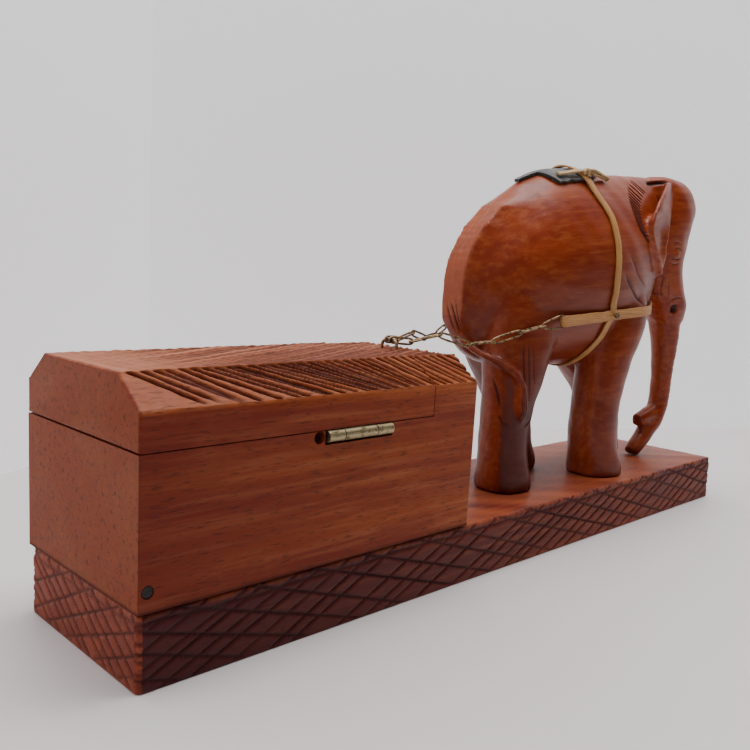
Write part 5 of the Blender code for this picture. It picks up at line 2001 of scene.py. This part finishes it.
    def build_girth(
        self, skin: bpy.types.Object, pad: bpy.types.Object, breast: bpy.types.Object
    ) -> bpy.types.Object:
        """Makes the girth: a closed band over the pad, and over the breast strap's sides.

        Args:
            skin: the carved elephant.
            pad: the pad.
            breast: the breast strap.

        Returns:
            The piece.
        """
        centre = self.elephant.point(0.0, 0.0, self.girth_w)
        across, along = self.elephant.direction(0, 1, 0), Vector((0, 0, 1))
        ahead = self.elephant.direction(1, 0, 0)
        trees = [tree_of(skin), tree_of(pad)]
        corners = self.hull(trees, centre, across, along, self.girth_width)
        loop = np.array([tuple(p) for p in corners + corners[:1]])
        length = np.concatenate([[0], np.cumsum(np.linalg.norm(np.diff(loop, axis=0), axis=1))])
        count = int(length[-1] / 0.0015)
        even = np.linspace(0, length[-1], count, endpoint=False)
        ring = np.stack([np.interp(even, length, loop[:, k]) for k in range(2)], 1)
        chord = np.roll(ring, -1, 0) - np.roll(ring, 1, 0)
        normal = unit(np.stack([chord[:, 1], -chord[:, 0]], 1))
        normal *= np.sign((normal * ring).sum(1))[:, None]
        table = np.array(self.girth_shift)
        shift = np.interp(self.girth_w + ring[:, 1], table[:, 0], table[:, 1])
        breast_tree = tree_of(breast)
        path, outward = [], []
        for (x, y), (nx, ny), forward in zip(ring.tolist(), normal.tolist(), shift.tolist()):
            out = across * nx + along * ny
            spot = centre + across * x + along * y + ahead * forward
            reach = 0.0
            for offset in (-0.4, 0.0, 0.4):
                start = spot + out * self.probe + ahead * offset * self.girth_width
                for tree in trees:
                    distance = tree.ray_cast(start, -out)[3]
                    if distance is not None:
                        reach = max(reach, self.probe - distance)
            over = breast_tree.ray_cast(spot + out * self.probe, -out)[3]
            if over is not None and over < self.probe_end:
                reach = max(reach, self.probe - over + self.gap)
            outward.append(out)
            path.append(spot + out * (reach + self.lift + self.thickness / 2))
        path, outward = np.array(path), np.array(outward)
        for _ in range(2):
            path = 0.5 * path + 0.25 * (np.roll(path, 1, 0) + np.roll(path, -1, 0))
        made = self.band(path, outward, self.girth_width, True, 72)
        obj = self.strap_object("girth_strap_cane", made, GIRTH_CANE)
        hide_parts("girth_strap")
        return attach(obj, "carving")

    def build_tie(self, under: Sequence[bpy.types.Object]) -> bpy.types.Object:
        """Makes the strip that ties pad and girth together, with its knot and loose end.

        Args:
            under: the pieces that it lies on.

        Returns:
            The strip. The knot is a piece of its own.
        """
        normal = self.elephant.direction(0, *self.tie_lean).normalized()
        ahead = self.elephant.direction(1, 0, 0)
        level = normal.cross(ahead)
        middle = self.elephant.point(self.crossing_u, self.tie_v, 0.120)
        trees = [tree_of(obj) for obj in under]
        reach = np.linspace(self.tie_start, self.tie_end, 60)
        height = []
        for x in reach.tolist():
            best = -1.0
            for offset in (-0.5, 0.0, 0.5):
                start = middle + ahead * x + level * offset * self.tie_width
                start += normal * self.tie_clear
                for tree in trees:
                    distance = tree.ray_cast(start, -normal)[3]
                    if distance is not None:
                        best = max(best, self.tie_clear - distance)
            height.append(best)
        cloud = [Vector(pair) for pair in zip(reach.tolist(), height)]
        cloud += [Vector((x, -self.tie_clear)) for x in (self.tie_start, self.tie_end)]
        corners = (cloud[i] for i in convex_hull_2d(cloud))
        taut = sorted((p for p in corners if p.y > -self.tie_clear / 2), key=lambda p: p.x)
        xs, ys = np.array([p.x for p in taut]), np.array([p.y for p in taut])
        even = np.linspace(xs[0], xs[-1], 34)
        rise = np.interp(even, xs, ys)
        slope = np.gradient(rise, even)
        up, fore, side = np.array(normal), np.array(ahead), np.array(level)
        outward = unit(up[None] - fore[None] * slope[:, None])
        path = np.array(middle) + fore * even[:, None] + up * rise[:, None]
        path = path + outward * (self.lift + self.thickness / 2)
        surface, edge = self.band(path, outward, self.tie_width, False, 73)
        knot_at = np.array(middle) - fore * 0.0046
        top = float(np.interp(-0.0046, even, rise)) + self.thickness + 0.0009
        turns = []
        for tilt, shift, size in (
            (0.35, -0.0010, 0.00105), (-0.55, 0.0009, 0.00100), (1.25, 0.0, 0.00090),
        ):
            angle = np.linspace(-0.25, math.pi + 0.25, 26)
            along = fore * math.cos(tilt) + side * math.sin(tilt)
            centre = knot_at + fore * shift + up * (top - 0.0016)
            arc = centre + along * (0.0018 * np.cos(angle))[:, None]
            arc = arc + up * (0.0012 * np.sin(angle))[:, None]
            turns.append(tube(arc, size * (1 + 0.1 * np.sin(7 * angle)), np.cross(along, up)))
        loose = spline((
            (-0.0040, 0.0, top - 0.0004), (0.0000, 0.0008, top - 0.0002),
            (0.0045, 0.0006, top - 0.0012), (0.0085, -0.0009, top - 0.0024),
        ), 24)
        line = np.array(middle) + fore * loose[:, :1] + side * loose[:, 1:2] + up * loose[:, 2:]
        turns.append(tube(line, 0.00070 + 0.00035 * np.linspace(0, 1, 24) ** 3, side))
        knot = mesh_object("pad_tie_knot", joined(turns), KNOT_CANE.material())
        facing_out(knot)
        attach(knot, "carving")
        obj = self.strap_object("pad_tie_cane", (surface, edge), TIE_CANE)
        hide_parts("pad_tie")
        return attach(obj, "carving")


# ---------------------------------------------------------------- fittings, stage

@dataclass
class Fittings:
    """The metal pieces and the plug that keep their CAD shape."""

    brass: tuple[str, ...] = ("hinge_",)
    bronze: tuple[str, ...] = ("strap_nail_",)
    steel: tuple[str, ...] = ("log_screw_", "foot_screw_")
    plug: tuple[str, ...] = ("log_plug",)

    def dress(self) -> int:
        """Gives each node its finish.

        Returns:
            How many nodes were dressed.
        """
        done = 0
        for starts, finish in (
            (self.brass, BRASS), (self.bronze, BRONZE), (self.steel, STEEL), (self.plug, PLUG),
        ):
            material = finish.material()
            for name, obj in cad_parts.items():
                if name.startswith(starts):
                    obj.data.materials.clear()
                    obj.data.materials.append(material)
                    done += 1
        return done


@dataclass(frozen=True)
class SoftLight:
    """A square soft light: where it is, where it points, its side in metres and its watts."""

    name: str
    place: Point
    aim: Point
    size: float
    power: float
    colour: Colour = (1.0, 0.98, 0.97)

    def build(self) -> None:
        """Adds the light to the scene."""
        data = bpy.data.lights.new(self.name, "AREA")
        data.size = self.size
        data.energy = self.power
        data.color = self.colour
        light = bpy.data.objects.new(self.name, data)
        light.location = self.place
        aim = Vector(self.aim) - Vector(self.place)
        light.rotation_euler = aim.to_track_quat("-Z", "Y").to_euler()
        bpy.context.scene.collection.objects.link(light)


@dataclass
class Stage:
    """The pale table and corner of a backdrop, soft lights and the camera."""

    eye: Point = (-0.2387, -0.1977, 0.1016)
    heading: float = math.radians(45.86)
    pitch: float = math.radians(-7.33)
    roll: float = math.radians(2.652)
    lens: float = 39.63
    corner: tuple[float, float] = (0.0006, 0.2399)
    right_wall: tuple[float, float] = (0.873, -0.487)
    left_wall: tuple[float, float] = (-0.885, -0.466)
    wall_length: float = 3.0
    wall_height: float = 2.5
    table_half: float = 3.0
    room_colour: Colour = (1.0, 0.97, 0.96)
    room_strength: float = 0.06
    lights: tuple[SoftLight, ...] = (
        SoftLight("overhead", (0.22, 0.06, 1.20), (0.10, 0.10, 0.0), 0.9, 23.0),
        SoftLight("room", (-0.80, -0.70, 0.90), (0.0, 0.0, 0.05), 0.7, 1.2),
    )

    def build_backdrop(self) -> None:
        """Makes the table and the two walls, which are clear from behind."""
        size = self.table_half
        table = mesh_object("table", (
            np.array([(-size, -size, 0), (size, -size, 0), (size, size, 0), (-size, size, 0.0)]),
            [[0, 1, 2, 3]],
        ), TABLE.material())
        material = WALL.material()
        corner = np.array((*self.corner, 0.0))
        for name, way, turn in (
            ("wall_right", self.right_wall, 1), ("wall_left", self.left_wall, -1),
        ):
            end = corner + np.array((*way, 0.0)) * self.wall_length
            up = np.array((0.0, 0.0, self.wall_height))
            points = np.array([corner, end, end + up, corner + up])
            face = [0, 1, 2, 3] if turn > 0 else [3, 2, 1, 0]
            wall = mesh_object(name, (points, [face]), material)

    def build_lights(self) -> None:
        """Makes a soft room: the lights, and a dim world."""
        for light in self.lights:
            light.build()
        world = bpy.data.worlds.new("soft_room")
        world.use_nodes = True
        background = world.node_tree.nodes["Background"]
        background.inputs["Color"].default_value = opaque(self.room_colour)
        background.inputs["Strength"].default_value = self.room_strength
        bpy.context.scene.world = world

    def build_camera(self) -> bpy.types.Object:
        """Makes the camera: heading and pitch give its direction, then it rolls.

        Returns:
            The camera.
        """
        ahead = Vector((
            math.cos(self.heading) * math.cos(self.pitch),
            math.sin(self.heading) * math.cos(self.pitch), math.sin(self.pitch),
        ))
        right = Vector((math.sin(self.heading), -math.cos(self.heading), 0.0))
        up = right.cross(ahead)
        c, s = math.cos(self.roll), math.sin(self.roll)
        across, upright = right * c + up * s, up * c - right * s
        data = bpy.data.cameras.new("camera")
        data.lens = self.lens
        data.sensor_width = 36.0
        data.clip_start = 0.005
        data.clip_end = 20.0
        camera = bpy.data.objects.new("camera", data)
        turn = Matrix((across, upright, -ahead)).transposed().to_4x4()
        camera.matrix_world = Matrix.Translation(self.eye) @ turn
        bpy.context.scene.collection.objects.link(camera)
        bpy.context.scene.camera = camera
        return camera


def report(obj: bpy.types.Object) -> bpy.types.Object:
    """Logs a piece's name and its triangles."""
    triangles = sum(len(face.vertices) - 2 for face in obj.data.polygons)
    log.info("%s: %d triangles", obj.name, triangles)
    return obj


def main() -> None:
    """Builds every piece in order, then the stage."""
    logging.basicConfig(level=logging.INFO, format="%(name)s: %(message)s")
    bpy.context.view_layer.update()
    report(Plank().build())
    hewn = HewnLog()
    report(hewn.build_lid())
    report(hewn.build_box())
    elephant = Elephant()
    skin = report(elephant.build())
    chains = Chains()
    for side, joints in (("right", chains.right), ("left", chains.left)):
        for link in chains.build_chain(side, joints):
            report(link)
    report(chains.build_staple())
    harness = Harness(elephant)
    pad = report(harness.build_pad(skin))
    breast = report(harness.build_breast_strap(skin, chains))
    girth = report(harness.build_girth(skin, pad, breast))
    report(harness.build_tie([skin, pad, girth]))
    log.info("%d CAD nodes dressed", Fittings().dress())
    stage = Stage()
    stage.build_backdrop()
    stage.build_lights()
    stage.build_camera()


if __name__ == "__main__":
    main()
